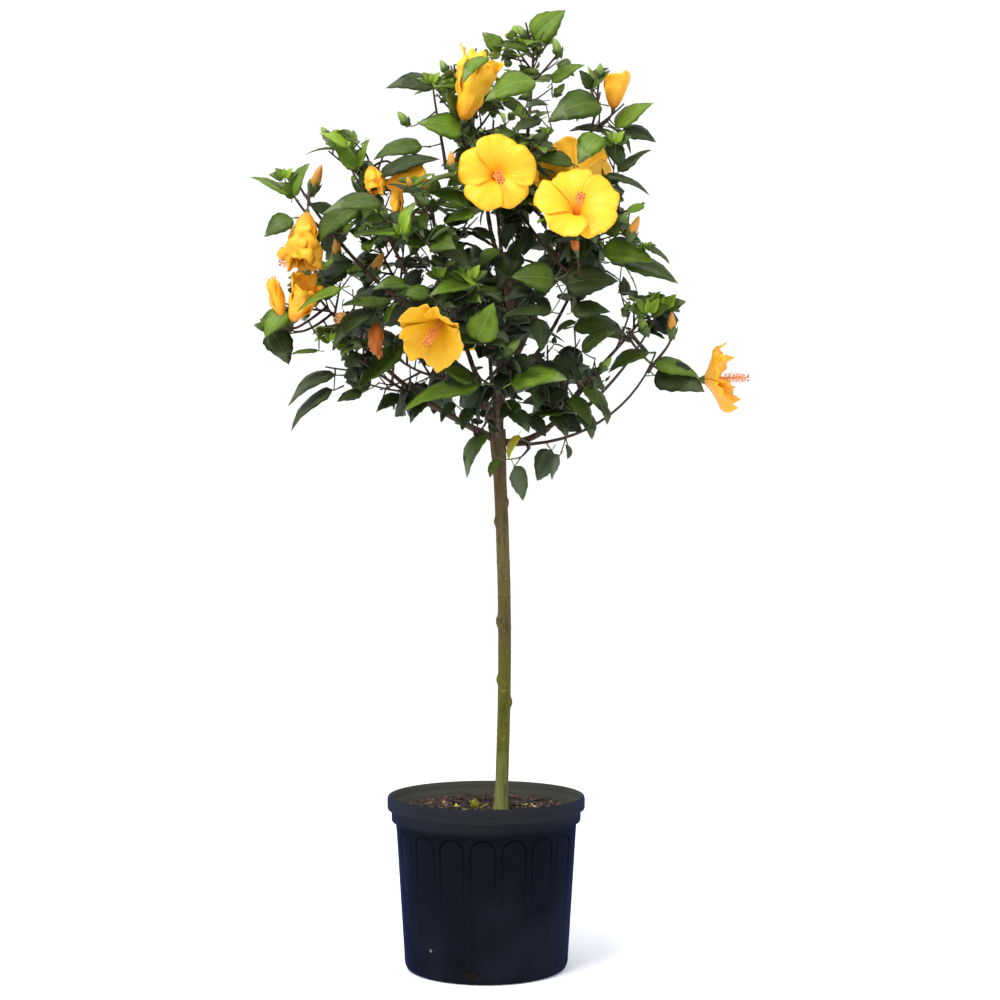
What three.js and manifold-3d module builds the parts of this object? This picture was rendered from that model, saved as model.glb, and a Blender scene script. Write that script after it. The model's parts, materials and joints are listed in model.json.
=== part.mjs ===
// A yellow-flowered hibiscus grown as a small standard tree, in its black fluted nursery pot.
// Lengths are in millimetres and angles in degrees. +Z is up, +X is the right-hand side of
// the plant as it faces the viewer, and -Y points towards the viewer. The origin is the
// centre of the pot's flat underside.

import * as THREE from 'three';
import { mergeVertices } from 'three/addons/utils/BufferGeometryUtils.js';
import Module from 'manifold-3d';

const wasm = await Module();
wasm.setup();

// Clearance between pieces that touch
const SEAT_GAP = 0.35;

// Pot: a ten-inch nursery container with arched flutes under a collar and a broad lip
const POT_HEIGHT = 220;
const RIM_RADIUS = 127;
const LIP_HEIGHT = 17.5;
const COLLAR_RADIUS = 121.4;
const COLLAR_HEIGHT = 15.5;
const BODY_TOP_RADIUS = 116.2;
const HEEL_RADIUS = 104.8;
const HEEL_HEIGHT = 7;
const FOOT_RADIUS = 99;
const POT_WALL = 2.2;
const POT_FLOOR = 3;
const FLUTES = 18;
const FLUTE_DEPTH = 1.3;
const FLUTE_PANEL_HALF = 8;
const FLUTE_FIRST_TURN = -2.2;
const FLUTE_TOP = 180;
const FLUTE_SHOULDER = 172;
const POT_SIDES = 54;
const LINER_SIDES = 27;
const DRAIN_HOLES = 4;
const DRAIN_FIRST_TURN = -10;
const DRAIN_WIDTH = 22;
const DRAIN_HEIGHT = 12;
const DRAIN_CENTRE = 12;
const DRAIN_CUT = 30;

// Potting mix: the plug that fills the pot to below its rim
const SOIL_TOP = 195;
const SOIL_RELIEF = 3;
const SOIL_FLAT_RADIUS = 24;
const SOIL_RINGS = [80, 45, 0];

// Trunk: one bare stem that bows gently to the right and swells at its foot and head
const TRUNK_FOOT_X = 18.7;
const TRUNK_HEAD_X = 14.5;
const TRUNK_BOW = 7;
const TRUNK_HEAD_Z = 690;
const TRUNK_RADIUS = 8.3;
const TRUNK_FLARE = 2.4;
const TRUNK_FLARE_FADE = 14;
const TRUNK_HEAD_SWELL = 2.3;
const TRUNK_SWELL_START = 0.86;
const TRUNK_SIDES = 9;
const TRUNK_STEPS = 12;
const TRUNK_FOOT_CROWDING = 1.3;
// Healed pruning knots: how far up the trunk, turn from the front to the right, size
const TRUNK_KNOTS = [
  { at: 0.29, turn: 74, size: 4.8 },
  { at: 0.35, turn: -100, size: 4.2 },
  { at: 0.5, turn: -78, size: 5 },
  { at: 0.76, turn: -60, size: 4.4 },
  { at: 0.81, turn: 62, size: 4.4 },
];

// Boughs, and the twigs that carry on from them
const BOUGH_SIDES = 5;
const BOUGH_STEPS = 4;
const BOUGH_TIP_RADIUS = 2.9;
const BOUGH_ENTRY = 0.78;
const BOUGH_DEEPEST_ENTRY = 0.82;
const BOUGH_TAPER = 0.7;
const BOUGH_START_PULL = 0.4;
const BOUGH_END_PULL = 0.35;
const BOUGH_END_LIFT = 0.25;
const STEM_TIP_RADIUS = 2.4;
const STEM_REACH = 0.56;
const STEM_LIFT = 0.8;
const STEM_ONWARD = 0.6;
const SHOOT_RADIUS = 2.1;
const SHOOT_TIP_RADIUS = 1.8;
const TWIG_STEPS = 2;
const SHOOT_SPREAD = 56;
const SHOOT_LIFT = 0.3;
const SHOOT_STRIDE = 6;
const SHOOT_FILL = 0.62;
const SHOOT_LONGEST = 100;
const SHOOT_SHORTEST = 18;
// Side shoots stand along this stretch of a stem, and are tried at these shares of their length
const SHOOTS_START = 0.1;
const SHOOTS_END = 0.92;
const SHOOT_SHARES = [1, 0.8, 0.6, 0.45];
const SHOOT_MARKS = [0.4, 0.6, 0.8, 1];
const SHOOT_TURN_SLACK = 25;
const SHOOT_SPREAD_SLACK = 10;

// Leaves, set along the twigs in a spiral
const GOLDEN_TURN = 137.5;
const LEAF_FIRST = 10;
const LAST_LEAF = 0.96;
const LEAF_SPACING = 17;
const LEAF_SPREAD = 58;
const LEAF_HANG = 0.5;
const LEAF_LONGEST = 96;
const LEAF_SHORTEST = 74;
const LEAF_WIDTH = 0.64;
const LEAF_THICKNESS = 2;
const LEAF_BROADEST = 0.45;
const LEAF_ROOT = -0.008;
const LEAF_SAG = 0.16;
const LEAF_APART = 10.5;
const TWIG_APART = 6;
const TWIG_MARKS = 8;
const LEAF_SKYWARD = 0.5;
const LEAF_WANDER = 0.8;
// Rows across a leaf: place along it and half width there. Leaves keep apart by the inner rows,
// and keep to their space by the rows that reach their edges.
const INNER_ROWS = [[0.28, 0.4], [0.46, 0.95], [0.64, 0.8], [0.82, 0.4]];
const INNER_COLUMNS = [-1, 0, 1];
const EDGE_ROWS = [[0.16, 0.35], [0.3, 0.66], [0.45, 1], [0.63, 0.67], [0.82, 0.33]];
const EDGE_COLUMNS = [-1, -0.5, 0, 0.5, 1];
const LEAF_SWINGS = [0, 50, -50, 100, -100];
const LEAF_SHARES = [1, 0.86, 0.72];
const UPPER_LEAF = 0.85;
const YOUNG_LEAF = 0.72;
// The last two leaves of a twig: turn from its first leaf, and angle off the twig
const YOUNG_PAIR = [[0, 24], [160, 44]];
const LIMB_CLEARANCE = 3;
const SPACE_GAP = 0.055;
const SIMPLIFIED = 0.05;

// The crown's spaces. Each is an ellipsoid with its centre and its reach to each side, the limb
// that its bough grows from and how far along that limb, the bough's first rise above level, its
// radius at the start and the side shoots on its stem. Some also say how much their leaves hang,
// how steeply their stem climbs or how small their leaves are.
const spaces = [
  { name: 'leader', from: 'trunk', at: 1, centre: [62, 0, 1160], reach: [74, 70, 80],
    rise: 84, thick: 6.5, shoots: 6, hang: 0.2, lift: 3 },
  { name: 'front', from: 'trunk', at: 0.988, centre: [-62, -140, 900], reach: [116, 110, 100],
    rise: 52, thick: 5, shoots: 5 },
  { name: 'left_high', from: 'trunk', at: 0.995, centre: [-160, -20, 1002], reach: [98, 98, 80],
    rise: 58, thick: 5, shoots: 4 },
  { name: 'left_low', from: 'trunk', at: 0.972, centre: [-212, -10, 832], reach: [90, 92, 84],
    rise: 24, thick: 5, shoots: 4 },
  { name: 'right_far', from: 'trunk', at: 0.968, centre: [206, 0, 818], reach: [84, 90, 80],
    rise: -8, thick: 5, shoots: 4 },
  { name: 'back', from: 'trunk', at: 0.985, centre: [0, 185, 850], reach: [112, 106, 100],
    rise: 48, thick: 5.5, shoots: 5 },
  { name: 'upper_left', from: 'leader', at: 0.45, centre: [-30, -10, 1098], reach: [106, 96, 106],
    rise: 50, thick: 3.6, shoots: 7 },
  { name: 'left_far', from: 'left_high', at: 0.55, centre: [-232, -30, 965], reach: [78, 84, 86],
    rise: 30, thick: 3.2, shoots: 5 },
  { name: 'lower_left', from: 'left_low', at: 0.45, centre: [-148, -50, 745], reach: [112, 98, 80],
    rise: 10, thick: 3.4, shoots: 4, hang: 0.8 },
  { name: 'front_low', from: 'trunk', at: 0.978, centre: [14, -115, 765], reach: [110, 98, 86],
    rise: 20, thick: 4, shoots: 4, hang: 0.8 },
  { name: 'right_high', from: 'leader', at: 0.12, centre: [140, -20, 1070], reach: [86, 92, 92],
    rise: 62, thick: 4.2, shoots: 6 },
  { name: 'right_mid', from: 'right_high', at: 0.45, centre: [158, -75, 938], reach: [92, 98, 86],
    rise: 40, thick: 3.2, shoots: 4 },
  { name: 'right_low', from: 'right_far', at: 0.35, centre: [112, -35, 716], reach: [94, 92, 70],
    rise: -5, thick: 3.2, shoots: 4, hang: 0.9 },
  { name: 'centre_high', from: 'leader', at: 0.55, centre: [52, -80, 1000], reach: [96, 94, 92],
    rise: 40, thick: 3.4, shoots: 4 },
  { name: 'back_high', from: 'leader', at: 0.35, centre: [8, 105, 1035], reach: [110, 100, 100],
    rise: 50, thick: 3.8, shoots: 5 },
  { name: 'back_left', from: 'back', at: 0.2, centre: [-140, 120, 905], reach: [108, 106, 98],
    rise: 45, thick: 4, shoots: 5 },
  { name: 'back_right', from: 'back', at: 0.32, centre: [142, 120, 910], reach: [104, 106, 98],
    rise: 45, thick: 4, shoots: 5 },
  { name: 'back_low_left', from: 'back_left', at: 0.35, centre: [-90, 92, 752], reach: [98, 92, 76],
    rise: 0, thick: 3.2, shoots: 4, hang: 0.9 },
  { name: 'back_low_right', from: 'back_right', at: 0.35, centre: [92, 96, 754], reach: [96, 92, 76],
    rise: 0, thick: 3.2, shoots: 4, hang: 0.9 },
  { name: 'fork_left', from: 'left_low', at: 0.12, centre: [-14, -35, 668], reach: [50, 50, 50],
    rise: -20, thick: 3, shoots: 4, hang: 1.5, leafShare: 0.56 },
  { name: 'fork_right', from: 'right_far', at: 0.2, centre: [54, -35, 650], reach: [56, 52, 52],
    rise: -35, thick: 3, shoots: 4, hang: 1.5, leafShare: 0.56 },
];

// Open flowers. Each has the space whose stem bears it, the centre of its open mouth, the way
// it faces (turn from the front to the right, and rise) and its width across the petals.
const openFlowers = [
  { space: 'centre_high', mouth: [14, -158, 1009], turn: -4, rise: 4, width: 96 },
  { space: 'centre_high', mouth: [111, -172, 966], turn: 10, rise: 16, width: 102 },
  { space: 'front', mouth: [-66, -218, 806], turn: -30, rise: -22, width: 80 },
  { space: 'right_far', mouth: [304, -10, 757], turn: 90, rise: -4, width: 92 },
  { space: 'right_mid', mouth: [117, -55, 1038], turn: 20, rise: 35, width: 84 },
  { space: 'upper_left', mouth: [-8, -60, 1128], turn: -150, rise: 30, width: 74 },
  { space: 'left_high', mouth: [-104, -92, 1002], turn: 40, rise: -40, width: 62 },
  { space: 'back', mouth: [-30, 296, 850], turn: 186, rise: 6, width: 94 },
  { space: 'back_high', mouth: [42, 208, 1045], turn: 168, rise: 24, width: 98 },
  { space: 'back_right', mouth: [232, 196, 930], turn: 128, rise: 10, width: 90 },
  { space: 'back_left', mouth: [-236, 190, 955], turn: 232, rise: 8, width: 88 },
];

// Flowers that are opening, rolled shut or wilting: the foot, the way they point, length, width
const closedFlowers = [
  { space: 'right_high', foot: [165, -30, 1108], turn: 0, rise: 86, length: 54, width: 34 },
  { space: 'left_far', foot: [-244, -70, 966], turn: -40, rise: -70, length: 70, width: 48 },
  { space: 'left_low', foot: [-236, -60, 860], turn: -30, rise: 30, length: 60, width: 42 },
  { space: 'left_high', foot: [-146, -84, 1030], turn: 40, rise: -60, length: 48, width: 30 },
];
const FLOWER_DEPTH = 0.36;
const FLOWER_LOBES = 5;
const FLOWER_NOTCH = 0.88;
const FLOWER_RUFFLE = 0.05;
const FLOWER_CLEARANCE = 0.54;
const FLOWER_OUTLOOK = 35;
const COLUMN_REACH = 0.34;
const COLUMN_SUNK = 0.9;
const COLUMN_TIP_RADIUS = 2.6;
const COLUMN_FOOT_RADIUS = 1.6;
const THROAT_RADIUS = 0.3;
const THROAT_DEPTH = 0.55;
const MOUTH_DEPTH = 0.6;
const FLOWER_CRUMPLE = [0.75, 1.1];
const STALK_SUNK = 2;
const STALK_BEND = 0.5;
const STALK_DROP = 30;

// Colours
const colours = { pot: 0x171a24, soil: 0x2b2019, bark: 0x6f6a44, twig: 0x54452f, leaf: 0x3f6b2a };

const UP = new THREE.Vector3(0, 0, 1);
const HEART = new THREE.Vector3(15, 0, 830);
const { degToRad: radians, lerp, smoothstep } = THREE.MathUtils;
const vector = (values) => new THREE.Vector3(...values);

// Direction of a turn from the front towards the right, and a rise above level
function heading(turn, rise) {
  const level = Math.cos(radians(rise));
  return new THREE.Vector3(
    Math.sin(radians(turn)) * level,
    -Math.cos(radians(turn)) * level,
    Math.sin(radians(rise)),
  );
}

// Direction that leans off a line by an angle, on the side given by a turn round that line
function leaning(along, turn, angle) {
  const reference = Math.abs(along.z) < 0.9 ? UP : new THREE.Vector3(1, 0, 0);
  const across = new THREE.Vector3().crossVectors(along, reference).normalize();
  const over = new THREE.Vector3().crossVectors(across, along);
  return along.clone().multiplyScalar(Math.cos(radians(angle)))
    .addScaledVector(across, Math.cos(radians(turn)) * Math.sin(radians(angle)))
    .addScaledVector(over, Math.sin(radians(turn)) * Math.sin(radians(angle)));
}

// A repeatable dice: each roll gives a number between low and high
function diceFrom(seed) {
  let state = seed;
  return (low, high) => {
    state = (Math.imul(state, 1664525) + 1013904223) >>> 0;
    return lerp(low, high, state / 2 ** 32);
  };
}

// A closed solid from a geometry, each of whose vertices a rule may move to a place of its own
function solidFrom(geometry, place = (vertex) => vertex) {
  geometry.deleteAttribute('normal');
  geometry.deleteAttribute('uv');
  const { attributes: { position }, index } = mergeVertices(geometry);
  const vertex = new THREE.Vector3();
  for (let i = 0; i < position.count; i += 1) {
    const { x, y, z } = place(vertex.fromBufferAttribute(position, i));
    position.setXYZ(i, x, y, z);
  }
  const body = (triVerts) => new wasm.Manifold(new wasm.Mesh({
    numProp: 3,
    vertProperties: Float32Array.from(position.array),
    triVerts,
  }));
  const solid = body(Uint32Array.from(index.array));
  return solid.volume() > 0 ? solid : body(Uint32Array.from(index.array).reverse());
}

function meshFrom(name, solid, colour, roughness) {
  const { vertProperties, triVerts } = solid.getMesh();
  const geometry = new THREE.BufferGeometry();
  geometry.setAttribute('position', new THREE.BufferAttribute(vertProperties, 3));
  geometry.setIndex(new THREE.BufferAttribute(triVerts, 1));
  geometry.computeVertexNormals();
  const material = new THREE.MeshStandardMaterial({ color: colour, roughness, metalness: 0 });
  const mesh = new THREE.Mesh(geometry, material);
  mesh.name = name;
  return mesh;
}

// The largest body of a solid, without loose scraps and sealed hollows
function mainBody(solid) {
  const larger = (one, other) => (other.volume() > one.volume() ? other : one);
  return solid.decompose().reduce(larger);
}

// A round tapering limb: a cylinder whose rings are carried along a curve
function limbSolid({ curve, radiusAt }, sides, steps, extra = 0) {
  const frames = curve.computeFrenetFrames(steps);
  return solidFrom(new THREE.CylinderGeometry(1, 1, 1, sides, steps), ({ x, y, z }) => {
    const ring = Math.round((y + 0.5) * steps);
    const radius = radiusAt(ring / steps) + extra;
    return curve.getPoint(ring / steps)
      .addScaledVector(frames.normals[ring], x * radius)
      .addScaledVector(frames.binormals[ring], -z * radius);
  });
}

// Pot
function turnedGeometry(profile, sides) {
  const outline = profile.map(([radius, height]) => new THREE.Vector2(radius, height));
  return new THREE.LatheGeometry(outline, sides).rotateX(Math.PI / 2);
}

function turnedSolid(profile, sides, radiusAt = (turn, height, radius) => radius) {
  return solidFrom(turnedGeometry(profile, sides), (vertex) => {
    const radius = Math.hypot(vertex.x, vertex.y);
    const turn = THREE.MathUtils.radToDeg(Math.atan2(vertex.x, -vertex.y));
    const scale = radius > 0 ? radiusAt(turn, vertex.z, radius) / radius : 1;
    return vertex.set(vertex.x * scale, vertex.y * scale, vertex.z);
  });
}

function flutedRadius(turn, height, radius) {
  const pitch = 360 / FLUTES;
  const fromFirst = turn - FLUTE_FIRST_TURN + pitch / 2;
  const across = THREE.MathUtils.euclideanModulo(fromFirst, pitch) - pitch / 2;
  const inPanel = Math.abs(across) < FLUTE_PANEL_HALF && height > 0 && height <= FLUTE_SHOULDER;
  return inPanel ? radius - FLUTE_DEPTH : radius;
}

function drainHole(turn) {
  const hole = new THREE.CylinderGeometry(DRAIN_WIDTH / 2, DRAIN_WIDTH / 2, DRAIN_CUT, 6);
  hole.scale(1, 1, DRAIN_HEIGHT / DRAIN_WIDTH);
  hole.translate(0, -HEEL_RADIUS, DRAIN_CENTRE);
  hole.rotateZ(radians(turn));
  return solidFrom(hole);
}

const collarFoot = POT_HEIGHT - LIP_HEIGHT - COLLAR_HEIGHT;
const liner = [
  [0, POT_FLOOR],
  [HEEL_RADIUS - POT_WALL - FLUTE_DEPTH, POT_FLOOR],
  [BODY_TOP_RADIUS - POT_WALL - FLUTE_DEPTH, collarFoot],
  [COLLAR_RADIUS - POT_WALL, POT_HEIGHT - LIP_HEIGHT],
  [RIM_RADIUS - 2 * POT_WALL, POT_HEIGHT],
];

function makePot() {
  const shell = [
    [0, 0],
    [FOOT_RADIUS, 0],
    [HEEL_RADIUS, HEEL_HEIGHT],
    [BODY_TOP_RADIUS - 0.6, FLUTE_SHOULDER],
    [BODY_TOP_RADIUS - 0.2, FLUTE_TOP],
    [BODY_TOP_RADIUS, collarFoot],
    [COLLAR_RADIUS, collarFoot + 1],
    [COLLAR_RADIUS + 0.3, POT_HEIGHT - LIP_HEIGHT - 1],
    [RIM_RADIUS, POT_HEIGHT - LIP_HEIGHT],
    [RIM_RADIUS, POT_HEIGHT],
    [0, POT_HEIGHT],
  ];
  const mouth = [RIM_RADIUS - 2 * POT_WALL, POT_HEIGHT + 1];
  const hollow = turnedSolid([...liner, mouth, [0, mouth[1]]], LINER_SIDES);
  let pot = turnedSolid(shell, POT_SIDES, flutedRadius).subtract(hollow);
  for (let i = 0; i < DRAIN_HOLES; i += 1) {
    pot = pot.subtract(drainHole(DRAIN_FIRST_TURN + (360 / DRAIN_HOLES) * i));
  }
  return pot.simplify(SIMPLIFIED);
}

// Potting mix
function makeSoil() {
  const [, [floorRadius, floor], [shoulderRadius, shoulder]] = liner;
  const slope = (shoulderRadius - floorRadius) / (shoulder - floor);
  const wallRadius = (height) => floorRadius + (height - floor) * slope;
  const top = collarFoot - 1;
  const profile = [
    [0, POT_FLOOR + SEAT_GAP],
    [wallRadius(POT_FLOOR) - SEAT_GAP, POT_FLOOR + SEAT_GAP],
    [wallRadius(top) - SEAT_GAP, top],
    ...SOIL_RINGS.map((radius) => [radius, SOIL_TOP]),
  ];
  const roll = diceFrom(5);
  return solidFrom(turnedGeometry(profile, LINER_SIDES), (vertex) => {
    const fromTrunk = Math.hypot(vertex.x - TRUNK_FOOT_X, vertex.y);
    const relief = smoothstep(fromTrunk, SOIL_FLAT_RADIUS, 2 * SOIL_FLAT_RADIUS) * SOIL_RELIEF;
    const lump = Math.abs(vertex.z - SOIL_TOP) < 1 ? relief * roll(-1, 0.6) : 0;
    return vertex.setZ(vertex.z + lump);
  });
}

// Trunk
class TrunkLine extends THREE.Curve {
  getPoint(t, target = new THREE.Vector3()) {
    const x = lerp(TRUNK_FOOT_X, TRUNK_HEAD_X, t) + TRUNK_BOW * Math.sin(Math.PI * t);
    return target.set(x, 0, lerp(SOIL_TOP + SEAT_GAP, TRUNK_HEAD_Z, t));
  }
}

function trunkRadius(t) {
  const aboveSoil = t * (TRUNK_HEAD_Z - SOIL_TOP);
  return TRUNK_RADIUS
    + TRUNK_FLARE * Math.exp(-aboveSoil / TRUNK_FLARE_FADE)
    + TRUNK_HEAD_SWELL * smoothstep(t, TRUNK_SWELL_START, 1);
}

function makeTrunk({ curve, radiusAt }) {
  const round = () => new THREE.CylinderGeometry(1, 1, 1, TRUNK_SIDES, TRUNK_STEPS);
  const column = (extra) => solidFrom(round(), ({ x, y, z }) => {
    const t = (y + 0.5) ** TRUNK_FOOT_CROWDING;
    const radius = radiusAt(t) + extra;
    return curve.getPoint(t).add(new THREE.Vector3(x * radius, -z * radius, 0));
  });
  const knots = TRUNK_KNOTS.map(({ at, turn, size }) => {
    const seat = curve.getPoint(at).addScaledVector(heading(turn, 0), radiusAt(at) - size / 3);
    return solidFrom(new THREE.OctahedronGeometry(size).translate(seat.x, seat.y, seat.z));
  });
  return { solid: wasm.Manifold.union([column(0), ...knots]), cutter: column(SEAT_GAP) };
}

// Boughs
const norm = ({ centre, reach }, { x, y, z }) => Math.hypot(
  (x - centre[0]) / reach[0],
  (y - centre[1]) / reach[1],
  (z - centre[2]) / reach[2],
);

function boughLine(space, parent) {
  const start = parent.curve.getPoint(space.at);
  const centre = vector(space.centre);
  const away = centre.clone().sub(start);
  const depth = Math.min(BOUGH_ENTRY / norm(space, start), BOUGH_DEEPEST_ENTRY);
  const entry = centre.clone().addScaledVector(away, -depth);
  const inward = centre.clone().sub(entry).normalize().addScaledVector(UP, BOUGH_END_LIFT).normalize();
  const level = new THREE.Vector3(away.x, away.y, 0).normalize();
  const rise = radians(space.rise);
  const first = level.multiplyScalar(Math.cos(rise)).addScaledVector(UP, Math.sin(rise));
  const span = start.distanceTo(entry);
  return new THREE.CubicBezierCurve3(
    start,
    start.clone().addScaledVector(first, span * BOUGH_START_PULL),
    entry.clone().addScaledVector(inward, -span * BOUGH_END_PULL),
    entry,
  );
}

const limbs = { trunk: { curve: new TrunkLine(), radiusAt: trunkRadius } };
for (const space of spaces) {
  limbs[space.name] = {
    curve: boughLine(space, limbs[space.from]),
    radiusAt: (t) => lerp(space.thick, BOUGH_TIP_RADIUS, t ** BOUGH_TAPER),
  };
}

// Stems: each carries on from its bough's tip through its space
function stemLine(space) {
  const bough = limbs[space.name].curve;
  const inward = bough.getTangent(1);
  const start = bough.getPoint(1).addScaledVector(inward, SEAT_GAP);
  const centre = vector(space.centre);
  const climb = inward.clone().multiplyScalar(STEM_ONWARD).addScaledVector(UP, space.lift ?? STEM_LIFT);
  const tip = climb.normalize().multiply(vector(space.reach)).multiplyScalar(STEM_REACH).add(centre);
  const bend = start.clone().addScaledVector(inward, start.distanceTo(centre));
  return new THREE.QuadraticBezierCurve3(start, bend, tip);
}

// What twigs and leaves keep clear of: stretches between two points, with a radius, an owner that
// may touch them
const obstacles = [];
function keepClear(curve, steps, radiusAt, owner) {
  for (let i = 0; i < steps; i += 1) {
    obstacles.push({
      line: new THREE.Line3(curve.getPoint(i / steps), curve.getPoint((i + 1) / steps)),
      radius: radiusAt(i / steps),
      owner,
    });
  }
}

const nearestOnLine = new THREE.Vector3();
const isClear = (point, owner) => obstacles.every((obstacle) => obstacle.owner === owner
  || obstacle.line.closestPointToPoint(point, true, nearestOnLine).distanceTo(point) > obstacle.radius);

function isWithin(space, point) {
  const own = norm(space, point);
  return own < 1 && spaces.every((other) => other === space || norm(other, point) > own + SPACE_GAP);
}

const isFree = (space, point) => isWithin(space, point) && isClear(point, space.name);

// Side shoots
function sideShoot(space, base, aim) {
  let room = SHOOT_STRIDE;
  while (room < SHOOT_LONGEST && isWithin(space, base.clone().addScaledVector(aim, room))) {
    room += SHOOT_STRIDE;
  }
  for (const share of SHOOT_SHARES) {
    const reach = room * SHOOT_FILL * share;
    const line = new THREE.LineCurve3(base, base.clone().addScaledVector(aim, reach));
    const free = SHOOT_MARKS.every((t) => isFree(space, line.getPoint(t)));
    if (free && reach > SHOOT_SHORTEST) return [line];
  }
  return [];
}

// Leaves
const leafPoint = (leaf, u, across = 0) => leaf.foot.clone()
  .addScaledVector(leaf.aim, u * leaf.size)
  .addScaledVector(UP, -LEAF_SAG * leaf.size * u * u)
  .addScaledVector(leaf.side, across * leaf.size * LEAF_WIDTH / 2);

// Points spread over a leaf's blade, in rows across it out to its edges
const leafMarks = (leaf, rows, columns) => [
  leafPoint(leaf, 1),
  ...rows.flatMap(([u, half]) => columns.map((share) => leafPoint(leaf, u, share * half))),
];

// One leaf on a twig, tried at a few turns round it and a few sizes until it has room
function leafAt(space, taken, { twig, t, turn, angle, size, hang, light }) {
  const foot = chordPoint(twig, t);
  for (const swing of LEAF_SWINGS) {
    const aim = leaning(twig.getTangent(t), turn + swing, angle).addScaledVector(UP, -hang).normalize();
    const outward = foot.clone().sub(HEART).normalize();
    outward.addScaledVector(UP, LEAF_SKYWARD).addScaledVector(heading(light, 0), LEAF_WANDER);
    const side = new THREE.Vector3().crossVectors(aim, outward).normalize();
    for (const share of LEAF_SHARES) {
      const leaf = { twig, foot, aim, side, size: size * share };
      const marks = leafMarks(leaf, INNER_ROWS, INNER_COLUMNS);
      const isTaken = (mark) => taken.some(({ point, apart }) => point.distanceTo(mark) <= apart);
      const edges = leafMarks(leaf, EDGE_ROWS, EDGE_COLUMNS);
      if (!marks.some(isTaken) && edges.every((mark) => isFree(space, mark))) {
        taken.push(...marks.map((point) => ({ point, apart: LEAF_APART })));
        return [leaf];
      }
    }
  }
  return [];
}

// A twig's own line is made of short straight lengths, and its leaves start on those
function chordPoint(line, t) {
  const step = Math.min(Math.floor(t * TWIG_STEPS), TWIG_STEPS - 1);
  const [start, end] = [step, step + 1].map((count) => line.getPoint(count / TWIG_STEPS));
  return start.lerp(end, t * TWIG_STEPS - step);
}

function leavesAlong(space, taken, twig, roll) {
  const length = twig.getLength();
  const firstTurn = roll(0, 360);
  const hang = space.hang ?? LEAF_HANG;
  const places = [];
  for (let i = 0; LEAF_FIRST + i * LEAF_SPACING < length - LEAF_SPACING / 4; i += 1) {
    const t = (LEAF_FIRST + i * LEAF_SPACING) / length;
    const turn = firstTurn + i * GOLDEN_TURN;
    places.push({ t, turn, angle: LEAF_SPREAD, share: lerp(1, UPPER_LEAF, t), hang });
  }
  for (const [turn, angle] of YOUNG_PAIR) {
    places.push({ t: LAST_LEAF, turn: firstTurn + turn, angle, share: YOUNG_LEAF, hang: hang / 2 });
  }
  return places.flatMap(({ share, ...place }) => {
    const size = roll(LEAF_SHORTEST, LEAF_LONGEST) * share * (space.leafShare ?? 1);
    const light = roll(0, 360);
    return leafAt(space, taken, { twig, size, light, ...place });
  });
}

// A leaf is a flat blade over a keel, and starts at a point inside its twig
function leafSolid(leaf) {
  const face = new THREE.Vector3().crossVectors(leaf.side, leaf.aim);
  return solidFrom(new THREE.SphereGeometry(1, 3, 2), ({ x, y, z }) => {
    if (y > 0.5) return leafPoint(leaf, LEAF_ROOT);
    if (y < -0.5) return leafPoint(leaf, 1);
    const depth = x < 0 ? LEAF_THICKNESS : 0;
    return leafPoint(leaf, LEAF_BROADEST, Math.round(z)).addScaledVector(face, -depth);
  });
}

// Flowers: an open one is a lobed funnel with a column, a closed one a crumpled spindle
function turnedTo(turn, rise, place) {
  const swing = new THREE.Quaternion().setFromUnitVectors(UP, heading(turn, rise));
  return (vertex) => vertex.applyQuaternion(swing).add(place);
}

function openFlowerSolids({ mouth, turn, rise, width }) {
  const radius = width / 2;
  const depth = FLOWER_DEPTH * width;
  const throat = [THROAT_RADIUS * radius, -THROAT_DEPTH * depth];
  const profile = [[0, -depth], throat, [radius, 0], [0, -MOUTH_DEPTH * depth]];
  const set = turnedTo(turn, rise, vector(mouth));
  const petals = solidFrom(turnedGeometry(profile, FLOWER_LOBES * 2), (vertex) => {
    if (Math.hypot(vertex.x, vertex.y) < 0.9 * radius) return set(vertex);
    const step = Math.round((Math.atan2(vertex.x, -vertex.y) / Math.PI) * FLOWER_LOBES);
    const onLobe = step % 2 === 0;
    const shrink = onLobe ? 1 : FLOWER_NOTCH;
    const lift = (onLobe ? -1 : 1) * FLOWER_RUFFLE * width;
    return set(vertex.set(vertex.x * shrink, vertex.y * shrink, lift));
  });
  const length = depth + COLUMN_REACH * width;
  const rod = new THREE.CylinderGeometry(COLUMN_TIP_RADIUS, COLUMN_FOOT_RADIUS, length, 4);
  rod.translate(0, length / 2 - COLUMN_SUNK * depth, 0).rotateX(Math.PI / 2);
  return [petals, solidFrom(rod, set)];
}

function closedFlowerSolid({ foot, turn, rise, length, width }, roll) {
  const spindle = new THREE.SphereGeometry(1, 6, 4).rotateX(Math.PI / 2);
  const set = turnedTo(turn, rise, vector(foot));
  return solidFrom(spindle, ({ x, y, z }) => {
    const crumple = (roll(...FLOWER_CRUMPLE) * width) / 2;
    return set(new THREE.Vector3(x * crumple, y * crumple, ((z + 1) * length) / 2));
  });
}

// The shoot that bears a flower runs from the nearest point of its space's stem
function flowerShoot(space, foot, way) {
  const stem = space.stem;
  const below = foot.clone().addScaledVector(way, -STALK_DROP);
  const reach = (t) => chordPoint(stem, t).distanceTo(below);
  const places = Array.from({ length: 18 }, (_, i) => SHOOTS_START + i / 20);
  const nearest = places.reduce((best, t) => (reach(t) < reach(best) ? t : best));
  const start = chordPoint(stem, nearest);
  const bend = foot.clone().addScaledVector(way, -STALK_BEND * start.distanceTo(foot));
  return new THREE.QuadraticBezierCurve3(start, bend, foot.clone().addScaledVector(way, STALK_SUNK));
}

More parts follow.
